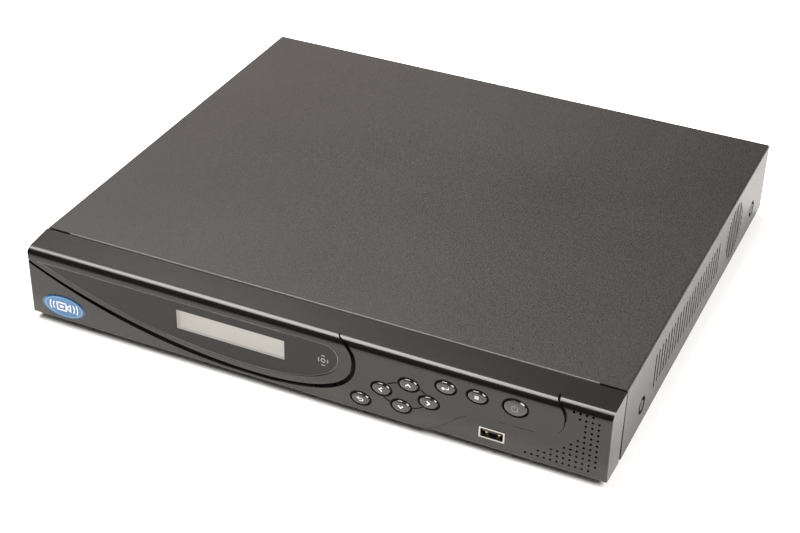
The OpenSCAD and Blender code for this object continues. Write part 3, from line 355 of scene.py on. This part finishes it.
# ---------------------------------------------------------------------------------------------
# Window: the same sheet left unprinted, matt enough to veil the display behind it.
# ---------------------------------------------------------------------------------------------
veil = Finish("clear_matt_window", {"Alpha": 0.6, "Specular IOR Level": 0.5})
haze = veil.noise(2600, 2)
lens_low, lens_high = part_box("window_lens")
painted_shade_w, painted_shade_h = 0.0026, 0.0017  # the window's darker left and lower borders
# The window is painted darker along its left and lower borders, painted shade cast by the overlay's edge, and
# grows paler towards the top.
lit = (veil.x > lens_low.x + painted_shade_w) * (veil.z > lens_low.z + painted_shade_h)
paling = veil.node("MapRange", {}, {0: veil.z, 1: lens_low.z, 2: lens_high.z, 3: 0.9, 4: 1.0})
veil.feed(Base_Color=veil.blend(
    lit * (0.8 + haze * 0.2) * paling, (0.38, 0.37, 0.35), (0.49, 0.48, 0.445)),
          Roughness=0.32 + haze * 0.1)
veil.on("window_lens")

# ---------------------------------------------------------------------------------------------
# Display module: a reflective liquid-crystal cell in a bent steel frame, on a green board. The
# cell is a pale grey-green, lighter over its active area, where two rows of characters sit.
# ---------------------------------------------------------------------------------------------
cell = Finish("liquid_crystal_cell", {"Specular IOR Level": 0.5})
middle_x, middle_z = (lens_low.x + lens_high.x) / 2, (lens_low.z + lens_high.z) / 2
active_left, active_up = 0.0011, 0.0006  # the active area's offset from the window's middle
active_half_w, active_half_h = 0.0298, 0.0058
active = ((abs(cell.x - (middle_x - active_left)) < active_half_w)
          * (abs(cell.z - (middle_z + active_up)) < active_half_h))
ripple = cell.noise(60, 3)
darker_rightward = cell.node("MapRange", {}, {0: cell.x, 1: lens_low.x, 2: lens_high.x, 3: 0.0, 4: 1.0})
# The cell grows darker towards the right.
cell.feed(
    Base_Color=cell.blend(active, (0.26, 0.25, 0.235), cell.blend(
        ripple * 0.3 + darker_rightward * 0.5, (0.66, 0.64, 0.60), (0.56, 0.55, 0.51))),
    Roughness=0.2 + ripple * 0.1)
cell.on("display_glass")
zinc.on("display_frame")

# ---------------------------------------------------------------------------------------------
# Circuit boards: glass-epoxy laminate under green solder mask, with copper tracks showing as
# lighter ridges and tinned pads between them.
# ---------------------------------------------------------------------------------------------
mask = Finish("green_solder_mask", {"Specular IOR Level": 0.5})
routes = mask.node("TexBrick", {"offset": 0.37, "squash": 1.6}, {
    "Vector": mask.here, "Scale": 155.0, "Mortar Size": 0.07, "Color1": (0, 0, 0, 1), "Color2": (0, 0, 0, 1),
    "Mortar": (1, 1, 1, 1)})
weave = mask.noise(1500, 2, (1, 1, 6))
pads = mask.cells(330) < 0.16
mask.feed(
    Base_Color=mask.blend(pads, mask.blend(
        routes, mask.blend(weave, (0.006, 0.055, 0.022), (0.010, 0.075, 0.03)), (0.02, 0.15, 0.06)),
        (0.62, 0.6, 0.55)),
    Roughness=0.34 + weave * 0.12, Metallic=pads * 0.9)
mask.bump(routes + pads * 0.5, 0.00005, 0.5)
mask.on("display_board", "key_board", "main_board", "drive_board")

# ---------------------------------------------------------------------------------------------
# Badge: a domed oval of blue enamel in a bright rim, stuck in a shallow recess. Its mark is a
# plain video camera between signal arcs, printed white.
# ---------------------------------------------------------------------------------------------
badge_low, badge_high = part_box("badge")
badge_x, badge_z = (badge_low.x + badge_high.x) / 2, (badge_low.z + badge_high.z) / 2
enamel = Finish("blue_enamel", {"Coat Weight": 0.3, "Coat Roughness": 0.08, "Specular IOR Level": 0.5})
reach = (((enamel.x - badge_x) / ((badge_high.x - badge_low.x) / 2)) ** 2
         + ((enamel.z - badge_z) / ((badge_high.z - badge_low.z) / 2)) ** 2) ** 0.5
cloud = enamel.noise(500, 2)
enamel.feed(
    Base_Color=enamel.ramp(reach + cloud * 0.02, (0.0, (0.010, 0.11, 0.28)), (0.80, (0.014, 0.125, 0.30)),
                           (0.86, (0.10, 0.27, 0.44)), (0.94, (0.008, 0.05, 0.13))),
    Roughness=0.22 + cloud * 0.08)
enamel.on("badge")

ink = Finish("white_ink", {"Specular IOR Level": 0.4})
screening = ink.noise(6000, 2)
ink.feed(Base_Color=ink.blend(screening, (0.68, 0.68, 0.66), (0.8, 0.8, 0.78)),
         Roughness=0.42 + screening * 0.1)

MM = 0.001
STROKE_STEP = 0.45  # mm, about, between the points of a stroke
MITRE = 0.4  # the smallest cosine that a corner's width is divided by
SUNK = 0.4  # depth of a stroke below the surface, as a share of its height above


def lay_strokes(name, node, body, middle, strokes, finish, thick=0.02):
    """Prints strokes on the front of a node. A stroke is its width, or its width at each point,
    whether it closes, and its points in mm from middle = (x, z) in metres. It drops on the surface."""
    source = nodes[node].data
    under = BVHTree.FromPolygons([v.co for v in source.vertices], [p.vertices[:] for p in source.polygons])
    print_mesh = bmesh.new()
    depth = min(v.co.y for v in source.vertices)
    for width, closed, points in strokes:
        widths = width if isinstance(width, list) else [width] * len(points)
        marks = [Vector((*p, w)) for p, w in zip(points, widths)]
        fine = []
        pairs = zip(marks, marks[1:] + marks[:1]) if closed else zip(marks, marks[1:])
        for a, b in pairs:
            steps = max(1, round((b - a).length / STROKE_STEP))
            fine += [a + (b - a) * i / steps for i in range(steps)]
        if not closed:
            fine.append(marks[-1])
        widths, fine = [p.z for p in fine], [p.xy for p in fine]
        rings = []
        for i, p in enumerate(fine):
            before = fine[i - 1] if i or closed else p
            after = fine[(i + 1) % len(fine)] if i + 1 < len(fine) or closed else p
            d1, d2 = (p - before), (after - p)
            d1 = d1.normalized() if d1.length else d2.normalized()
            d2 = d2.normalized() if d2.length else d1
            n1, n2 = Vector((-d1.y, d1.x)), Vector((-d2.y, d2.x))
            n = (n1 + n2).normalized()
            n *= min(widths[i] / 2 / max(n.dot(n1), MITRE), widths[i])
            ring = []
            for s in (1, -1):
                q = p + n * s
                x, z = middle[0] + q.x * MM, middle[1] + q.y * MM
                hit = under.ray_cast(Vector((x, -1, z)), Vector((0, 1, 0)))[0]
                depth = hit.y if hit else depth
                ring.append(Vector((x, depth, z)))
            lift = Vector((0, thick * MM, 0))
            rings.append([print_mesh.verts.new(v) for v in (
                ring[0] - lift, ring[1] - lift, ring[1] + lift * SUNK, ring[0] + lift * SUNK)])
        joins = list(zip(rings, rings[1:] + rings[:1])) if closed else list(zip(rings, rings[1:]))
        for one, two in joins:
            for k in range(4):
                print_mesh.faces.new((one[k], one[(k + 1) % 4], two[(k + 1) % 4], two[k]))
        if not closed:
            print_mesh.faces.new(rings[0])
            print_mesh.faces.new(rings[-1])
    bmesh.ops.recalc_face_normals(print_mesh, faces=print_mesh.faces)
    mesh = bpy.data.meshes.new(name)
    print_mesh.to_mesh(mesh)
    print_mesh.free()
    mesh.materials.append(finish.material)
    piece = bpy.data.objects.new(name, mesh)
    scene.collection.objects.link(piece)
    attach(piece, body)


def arc(middle, radius, start, end, tall=1.0, steps=14):
    """Points along an arc, in degrees, stretched upward by tall."""
    return [(middle[0] + radius * math.cos(math.radians(start + (end - start) * i / steps)),
             middle[1] + tall * radius * math.sin(math.radians(start + (end - start) * i / steps)))
            for i in range(steps + 1)]


lay_strokes("badge_mark", "badge", "case", (badge_x, badge_z), [
    (0.8, True, [(-4.2, -2.4), (1.6, -2.4), (1.6, 2.4), (-4.2, 2.4)]),
    (0.8, True, [(2.6, -0.8), (4.6, -2.1), (4.6, 2.1), (2.6, 0.8)]),
    (1.5, False, [(-2.6, 0), (0.0, 0)]),
    (0.7, False, arc((-2.6, 0), 4.2, 145, 215)), (0.7, False, arc((-2.6, 0), 6.3, 153, 207)),
    (0.7, False, arc((2.6, 0), 4.6, -35, 35)), (0.7, False, arc((2.6, 0), 6.7, -27, 27)),
], ink)

# ---------------------------------------------------------------------------------------------
# Pocket and parting line: the surround drops into a pocket whose floor is painted black and dull,
# a painted shade, and the lower right panel meets the fascia along a fine dark line that runs down
# to the chin. The same dull black rings each button cap as painted shade in the gap round it.
# ---------------------------------------------------------------------------------------------
# Dull black for painted shade in the pocket and round the caps, and for the dark parting line.
shade_and_seam = Finish("painted_shade_and_seam_black", {"Specular IOR Level": 0.08})
shade_mottle = shade_and_seam.noise(3000, 2)
shade_and_seam.feed(Base_Color=shade_and_seam.blend(shade_mottle, (0.001, 0.001, 0.001), (0.003, 0.003, 0.003)),
          Roughness=0.5 + shade_mottle * 0.2)


def bend(p0, p1, p2, p3, steps=16):
    """Points along a cubic curve."""
    ends = [Vector(p) for p in (p0, p1, p2, p3)]
    points = []
    for t in (i / steps for i in range(steps + 1)):
        pulls = (ends[k] * math.comb(3, k) * (1 - t) ** (3 - k) * t ** k for k in range(4))
        points.append(tuple(sum(pulls, Vector((0, 0)))))
    return points


half_wide = cad_high.x / MM
tray_under = 0.004  # metres from the table to the tray, above which the curves' heights are given
inner = (bend((-half_wide, 36.4), (-half_wide + 42, 16.2), (-72, 4.8), (-30, 4.8), 20)
         + bend((-28, 4.8), (4, 4.9), (30.1, 11.5), (30.1, 28.5))
         + bend((30.1, 30), (30.1, 34.8), (27.2, 39.4), (21.7, 42), 10))
outer = (bend((-half_wide, 34.6), (-half_wide + 42, 14.2), (-80, 2.5), (-36, 2.5), 20)
         + bend((-34, 2.5), (10, 2.4), (32.6, 10.5), (32.6, 28.5))
         + bend((32.6, 30), (32.5, 35.6), (29.6, 40.6), (22.1, 42.3), 10))
bare_left, bare_right = 6, 3  # points of the groove at each end that are left bare
gap = list(zip(inner, outer))[bare_left:-bare_right]
floor_share = 0.8  # of the gap's width
# A dark ribbon on the pocket floor: painted shade.
lay_strokes("pocket_painted_shade", "front_fascia", "case", (0, tray_under), [
    ([floor_share * math.dist(a, b) for a, b in gap], False,
     [((a[0] + b[0]) / 2, (a[1] + b[1]) / 2) for a, b in gap])],
    shade_and_seam)
lay_strokes("panel_parting_line", "front_fascia", "case", (0, tray_under), [
    (0.24, False, bend((147.8, 30), (148, 25), (144.6, 20.9), (134, 20.4)) + [(120, 19.9)]
     + bend((104, 19.8), (90, 20), (83, 1.4), (70, 1.2), 20))], shade_and_seam)

# ---------------------------------------------------------------------------------------------
# Edge of the overlay: a hair-wide ribbon just inside the die-cut edge of the clear sheet, painted
# in patches from dark to light grey, a painted glint along the edge, here more and there less.
# ---------------------------------------------------------------------------------------------
# The ribbon's colour runs in patches from dark to light grey: a painted glint.
painted_glint = Finish("painted_glint_film", {"Specular IOR Level": 0.6})
glint = painted_glint.noise(55, 3)
painted_glint.feed(Base_Color=painted_glint.ramp(glint, (0.38, (0.012, 0.011, 0.011)), (0.66, (0.11, 0.105, 0.10))),
              Roughness=0.2 + glint * 0.2)


def outline(node):
    """The outer edge of a node's front face, as (x, z) points in metres, in order."""
    data = nodes[node].data
    seen = {}
    for face in data.polygons:
        if face.normal.y < -0.9:
            ring = [data.vertices[v].co for v in face.vertices]
            ring = [(round(c.x, 6), round(c.z, 6)) for c in ring]
            for a, b in zip(ring, ring[1:] + ring[:1]):
                if seen.pop((b, a), None) is None:
                    seen[a, b] = True
    onward = {a: b for a, b in seen}
    loops = []
    while onward:
        loop = [next(iter(onward))]
        while loop[-1] in onward:
            loop.append(onward.pop(loop[-1]))
        loops.append(loop[:-1])
    return max(loops, key=lambda loop: max(p[0] for p in loop) - min(p[0] for p in loop))


edge = [Vector(p) / MM for p in outline("display_overlay")]
around = sum(a.x * b.y - b.x * a.y for a, b in zip(edge, edge[1:] + edge[:1]))
inset_by = 0.26  # mm from the edge to the middle of its light line
inset = []
for before, here, after in zip(edge[-1:] + edge[:-1], edge, edge[1:] + edge[:1]):
    along = (after - before).normalized()
    inset.append(here + Vector((-along.y, along.x)) * math.copysign(inset_by, around))
lay_strokes("overlay_painted_glint", "display_overlay", "case", (0, 0), [(0.34, True, inset)],
            painted_glint)

# ---------------------------------------------------------------------------------------------
# Buttons: eight oval caps of glossy black ABS on spring fingers behind the fascia, each with a
# white symbol pad-printed on its dome. Every cap presses a white plunger in its switch.
# ---------------------------------------------------------------------------------------------
gloss = Finish("glossy_button_plastic",
               {"Specular IOR Level": 0.5, "Coat Weight": 0.4, "Coat Roughness": 0.06})
swirl = gloss.noise(900, 2)
gloss.feed(Base_Color=gloss.blend(swirl, (0.005, 0.005, 0.005), (0.009, 0.0085, 0.0085)),
           Roughness=0.17 + swirl * 0.06)

grey_ink = Finish("grey_ink", {"Specular IOR Level": 0.4})
fade = grey_ink.noise(6000, 2)
grey_ink.feed(Base_Color=grey_ink.blend(fade, (0.17, 0.165, 0.16), (0.22, 0.215, 0.21)),
              Roughness=0.4 + fade * 0.1)

symbols = {
    "escape": [(0.42, False, [(-1.6, 0.55), (1.0, 0.55), (1.7, 0.1), (1.7, -0.5), (1.0, -1.0), (-0.5, -1.0)]),
               (0.42, False, [(-0.7, 1.3), (-1.75, 0.55), (-0.7, -0.2)])],
    "left": [(0.75, False, [(0.75, 1.25), (-0.75, 0), (0.75, -1.25)])],
    "up": [(0.75, False, [(-1.4, -0.65), (0, 0.75), (1.4, -0.65)])],
    "down": [(0.75, False, [(-1.4, 0.65), (0, -0.75), (1.4, 0.65)])],
    "right": [(0.75, False, [(-0.75, 1.25), (0.75, 0), (-0.75, -1.25)])],
    "enter": [(0.42, False, [(1.9, 1.1), (1.9, -0.3), (-1.6, -0.3)]),
              (0.42, False, [(-0.8, 0.5), (-1.8, -0.3), (-0.8, -1.1)])],
    "function": [(0.4, False, [(-1.1, 0.75), (1.1, 0.75)]), (0.4, False, [(-1.1, 0), (1.1, 0)]),
                 (0.4, False, [(-1.1, -0.75), (1.1, -0.75)])],
    "power": [(0.42, False, arc((0, -0.1), 1.75, 122, 418)), (0.42, False, [(0, 0.35), (0, 2.1)])],
}
dome_depth = 0.0012  # metres at the front of a cap, which leave out its flange
ring_clear = 0.82  # mm from the cap to the middle of the ring round it
ring_points = 40
for key, strokes in symbols.items():
    gloss.on(f"{key}_button")
    low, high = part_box(f"{key}_button")
    lay_strokes(f"{key}_symbol", f"{key}_button", f"{key}_key", ((low.x + high.x) / 2, (low.z + high.z) / 2),
                strokes, grey_ink if key == "power" else ink)
    dome = [v.co for v in nodes[f"{key}_button"].data.vertices if v.co.y < low.y + dome_depth]
    half_x, half_z = (
        (max(v[i] for v in dome) - min(v[i] for v in dome)) / 2 / MM + ring_clear for i in (0, 2))
    # A dark ring on the fascia round each cap: painted shade in the gap round it.
    lay_strokes(f"{key}_surround", "front_fascia", "case", ((low.x + high.x) / 2, (low.z + high.z) / 2), [
        (0.6, True, [(half_x * math.cos(a * math.tau / ring_points),
                      half_z * math.sin(a * math.tau / ring_points)) for a in range(ring_points)])],
        shade_and_seam)

nylon = Finish("white_nylon", {"Specular IOR Level": 0.5})
mottle = nylon.noise(1400, 2)
nylon.feed(Base_Color=nylon.blend(mottle, (0.68, 0.67, 0.63), (0.78, 0.77, 0.73)),
           Roughness=0.35 + mottle * 0.1)
nylon.on(*[f"{key}_plunger" for key in symbols], "coax_cores")

# ---------------------------------------------------------------------------------------------
# Receiver mark: a ring in four arcs, screen-printed in light grey over the remote sensor.
# ---------------------------------------------------------------------------------------------
sensor_low, sensor_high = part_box("infrared_receiver")
sensor_x, sensor_z = (sensor_low.x + sensor_high.x) / 2, (sensor_low.z + sensor_high.z) / 2
pale_ink = Finish("pale_grey_ink", {"Specular IOR Level": 0.4})
wash = pale_ink.noise(6000, 2)
pale_ink.feed(Base_Color=pale_ink.blend(wash, (0.2, 0.196, 0.192), (0.27, 0.265, 0.26)),
              Roughness=0.4 + wash * 0.1)
lay_strokes("receiver_mark", "display_overlay", "case", (sensor_x, sensor_z), [
    (0.6, True, arc((0, 0), 1.1, 0, 337.5, 1.05, 15))] + [
    (0.6, False, arc((0, 0), 2.7, a - 24, a + 24, 1.15, 8)) for a in (0, 90, 180, 270)],
    pale_ink)

# ---------------------------------------------------------------------------------------------
# Switches, chips, sockets and fan: black glass-filled nylon, moulded in plain steel tools and
# left matt.
# ---------------------------------------------------------------------------------------------
matt_black = Finish("matt_black_nylon", {"Specular IOR Level": 0.5})
speckle = matt_black.noise(2400, 3)
matt_black.feed(Base_Color=matt_black.blend(speckle, (0.008, 0.008, 0.008), (0.018, 0.018, 0.018)),
                Roughness=0.42 + speckle * 0.14)
matt_black.bump(speckle, 0.00003, 0.4)
matt_black.on("switch_bodies", "infrared_receiver", "board_chips", "cell_holder", "audio_jacks",
              "power_inlet", "rear_port_tongue", "front_port_tongue", "fan_frame", "fan_rotor")

# ---------------------------------------------------------------------------------------------
# Metal sockets and the coin cell: drawn or turned, then nickel-plated, with faint draw lines.
# ---------------------------------------------------------------------------------------------
nickel = Finish("bright_nickel", {"Metallic": 1.0})
brush = nickel.noise(900, 3, (1, 1, 7))
nickel.feed(Base_Color=nickel.blend(brush, (0.30, 0.29, 0.265), (0.46, 0.44, 0.41)),
            Roughness=0.2 + brush * 0.2)
nickel.on("front_port_shell", "rear_port_shell", "coax_shells", "digital_port", "network_jack",
          "coin_cell", "screen_port")

# ---------------------------------------------------------------------------------------------
# Contacts: rows of stamped spring strips, gold-flashed where they touch the plug, in the front
# and rear ports and in the network jack. The chips' legs are the same strip, tinned.
# ---------------------------------------------------------------------------------------------
gold = Finish("gold_flash", {"Metallic": 1.0})
wear = gold.noise(3000, 3)
gold.feed(Base_Color=gold.blend(wear, (0.72, 0.52, 0.24), (0.86, 0.68, 0.38)), Roughness=0.22 + wear * 0.2)
tin = Finish("tinned_copper", {"Metallic": 1.0})
dull = tin.noise(2600, 3)
tin.feed(Base_Color=tin.blend(dull, (0.5, 0.5, 0.49), (0.68, 0.68, 0.67)), Roughness=0.3 + dull * 0.2)

strip_tree = bpy.data.node_groups.new("contact_row", "GeometryNodeTree")
sizes = {}
for label, kind in (("Count", "Int"), ("Start", "Vector"), ("Step", "Vector"), ("Size", "Vector"),
                    ("Metal", "Material")):
    sizes[label] = strip_tree.interface.new_socket(
        label, in_out="INPUT", socket_type="NodeSocket" + kind).identifier
strip_tree.interface.new_socket("Strips", in_out="OUTPUT", socket_type="NodeSocketGeometry")
steps = {kind: strip_tree.nodes.new(kind) for kind in (
    "NodeGroupInput", "GeometryNodeMeshLine", "GeometryNodeMeshCube", "GeometryNodeInstanceOnPoints",
    "GeometryNodeRealizeInstances", "GeometryNodeSetMaterial", "NodeGroupOutput")}
given, line, block, spread, real, plated, done = steps.values()
for start, end in ((given.outputs["Count"], line.inputs["Count"]),
                   (given.outputs["Start"], line.inputs["Start Location"]),
                   (given.outputs["Step"], line.inputs["Offset"]),
                   (given.outputs["Size"], block.inputs["Size"]),
                   (line.outputs["Mesh"], spread.inputs["Points"]),
                   (block.outputs["Mesh"], spread.inputs["Instance"]),
                   (spread.outputs["Instances"], real.inputs["Geometry"]),
                   (real.outputs["Geometry"], plated.inputs["Geometry"]),
                   (given.outputs["Metal"], plated.inputs["Material"]),
                   (plated.outputs["Geometry"], done.inputs[0])):
    strip_tree.links.new(start, end)


def contact_rows(name, body, rows, finish):
    """One piece of contact strips. A row is a count, the first middle, the step and the size, in mm."""
    joined = bmesh.new()
    for count, first, step, size in rows:
        maker = bpy.data.objects.new(name + "_maker", bpy.data.meshes.new(name + "_maker"))
        scene.collection.objects.link(maker)
        grow = maker.modifiers.new("contact_row", "NODES")
        grow.node_group = strip_tree
        grow[sizes["Count"]] = count
        for label, value in (("Start", first), ("Step", step), ("Size", size)):
            grow[sizes[label]] = [float(v) * MM for v in value]
        grow[sizes["Metal"]] = finish.material
        made = bpy.data.meshes.new_from_object(maker.evaluated_get(bpy.context.evaluated_depsgraph_get()))
        joined.from_mesh(made)
        bpy.data.objects.remove(maker)
    mesh = bpy.data.meshes.new(name)
    joined.to_mesh(mesh)
    joined.free()
    mesh.materials.append(finish.material)
    piece = bpy.data.objects.new(name, mesh)
    scene.collection.objects.link(piece)
    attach(piece, body)


def in_mm(node):
    low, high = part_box(node)
    return low / MM, high / MM


low, high = in_mm("front_port_tongue")
middle = (low.x + high.x) / 2
contact_rows("front_port_contacts", "case", [
    (2, (middle - 3.5, low.y + 4.2, 13.0), (7, 0, 0), (1.0, 7.6, 1.0)),
    (2, (middle - 1.0, low.y + 4.7, 13.0), (2, 0, 0), (1.0, 6.8, 1.0)),
    (2, (middle - 3.2, low.y + 3.9, 11.35), (6.4, 0, 0), (1.8, 7.0, 0.35)),
], gold)
low, high = in_mm("rear_port_tongue")
middle = (low.x + high.x) / 2
contact_rows("rear_port_contacts", "case", [
    (4, (middle - 3.6, high.y - 4.5, 14.3), (2.4, 0, 0), (1.0, 7.0, 1.0))], gold)
low, high = in_mm("network_jack")
contact_rows("network_contacts", "case", [
    (8, ((low.x + high.x) / 2 - 3.57, high.y - 6.5, 20.2), (1.02, 0, 0), (0.46, 8.0, 0.46))], gold)


def loose_boxes(node):
    """Boxes, in mm, of a node's separate lumps."""
    lumps = bmesh.new()
    lumps.from_mesh(nodes[node].data)
    bmesh.ops.remove_doubles(lumps, verts=lumps.verts, dist=1e-6)
    waiting = set(lumps.verts)
    boxes = []
    while waiting:
        group = [waiting.pop()]
        for vert in group:
            for linked in vert.link_edges:
                other = linked.other_vert(vert)
                if other in waiting:
                    waiting.remove(other)
                    group.append(other)
        boxes.append([Vector(f(v.co[i] for v in group) for i in range(3)) / MM for f in (min, max)])
    lumps.free()
    return sorted(boxes, key=lambda pair: tuple(pair[0]))


leg_pitch = 1.27  # mm
legs = []
for low, high in loose_boxes("board_chips"):
    if high.x - low.x > 5:
        count = int((high.x - low.x - 1.6) / leg_pitch) + 1
        first = (low.x + high.x) / 2 - (count - 1) * leg_pitch / 2
        legs += [(count, (first, y, low.z + 0.12), (leg_pitch, 0, 0), (0.45, 1.6, 0.22))
                 for y in (low.y - 0.6, high.y + 0.6)]
contact_rows("chip_legs", "case", legs, tin)

# ---------------------------------------------------------------------------------------------
# Inner screws: bright zinc, with the plating a little uneven, holding the boards, the drive and
# the fan.
# ---------------------------------------------------------------------------------------------
bright_zinc = Finish("bright_zinc_plate", {"Metallic": 1.0})
patch = bright_zinc.noise(1300, 3)
bright_zinc.feed(Base_Color=bright_zinc.blend(patch, (0.5, 0.51, 0.53), (0.68, 0.69, 0.70)),
                 Roughness=0.22 + patch * 0.2)
bright_zinc.on("board_screws", "drive_screws", "fan_screws")

# ---------------------------------------------------------------------------------------------
# Stand-offs: hexagonal brass pillars screwed into the tray.
# ---------------------------------------------------------------------------------------------
brass = Finish("turned_brass", {"Metallic": 1.0})
turning = brass.noise(500, 3, (1, 1, 12))
brass.feed(Base_Color=brass.blend(turning, (0.62, 0.44, 0.18), (0.80, 0.60, 0.28)),
           Roughness=0.24 + turning * 0.18)
brass.on("board_standoffs")

# ---------------------------------------------------------------------------------------------
# Heat sink and drive: an extruded comb with draw lines up its fins, and a die-cast body whose
# skin is dull and slightly mottled, under a pressed stainless lid.
# ---------------------------------------------------------------------------------------------
extruded = Finish("extruded_aluminium", {"Metallic": 1.0})
drawn = extruded.noise(1600, 2, (1, 0.03, 1))
extruded.feed(Base_Color=extruded.blend(drawn, (0.60, 0.61, 0.62), (0.74, 0.75, 0.76)),
              Roughness=0.3 + drawn * 0.18)
extruded.on("heat_sink")
cast = Finish("cast_aluminium", {"Metallic": 1.0})
skin = cast.noise(700, 5)
cast.feed(Base_Color=cast.blend(skin, (0.34, 0.345, 0.35), (0.56, 0.565, 0.57)), Roughness=0.44 + skin * 0.18)
cast.bump(skin, 0.00008, 0.5)
cast.on("drive_casting")
lid = Finish("brushed_stainless_lid", {"Metallic": 1.0})
brushing = lid.noise(900, 3, (0.04, 1, 1))
lid.feed(Base_Color=lid.blend(brushing, (0.52, 0.52, 0.515), (0.68, 0.68, 0.67)),
         Roughness=0.26 + brushing * 0.16)
lid.on("drive_lid")

# ---------------------------------------------------------------------------------------------
# Capacitors and cables: aluminium cans in a dark blue shrink sleeve, bare on top, and flat grey
# ribbon cables, ribbed along their wires.
# ---------------------------------------------------------------------------------------------
sleeve = Finish("capacitor_sleeve", {"Specular IOR Level": 0.5})
face_up = sleeve.node("SeparateXYZ", {}, {0: sleeve.node("NewGeometry", {}, {}, out="Normal")}, out=2) > 0.8
scuff = sleeve.noise(800, 3)
sleeve.feed(Base_Color=sleeve.blend(face_up, sleeve.blend(scuff, (0.008, 0.02, 0.07), (0.014, 0.035, 0.11)),
                                    (0.6, 0.6, 0.6)),
            Metallic=face_up * 1.0, Roughness=0.28 + scuff * 0.12)
sleeve.on("capacitors")
ribbon = Finish("grey_ribbon_cable", {"Specular IOR Level": 0.5})
wire_pitch = 0.00127  # metres
ribs_and_groove_shade = ribbon.x.math("SINE", ribbon.x * (math.tau / wire_pitch)) * 0.5 + 0.5
# The grooves between the wires are painted darker: painted shade in the grooves.
ribbon.feed(Base_Color=ribbon.blend(ribs_and_groove_shade, (0.16, 0.16, 0.165), (0.36, 0.36, 0.37)),
            Roughness=0.4 + ribs_and_groove_shade * 0.1)
ribbon.bump(ribs_and_groove_shade, 0.0003, 0.7)
ribbon.on("front_cable", "drive_cables")

# ---------------------------------------------------------------------------------------------
# Terminal block: green nylon, moulded matt.
# ---------------------------------------------------------------------------------------------
terminal = Finish("green_terminal_nylon", {"Specular IOR Level": 0.5})
cloudy = terminal.noise(1200, 3)
terminal.feed(Base_Color=terminal.blend(cloudy, (0.008, 0.10, 0.035), (0.014, 0.15, 0.05)),
              Roughness=0.36 + cloudy * 0.12)
terminal.on("terminal_block")

low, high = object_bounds()
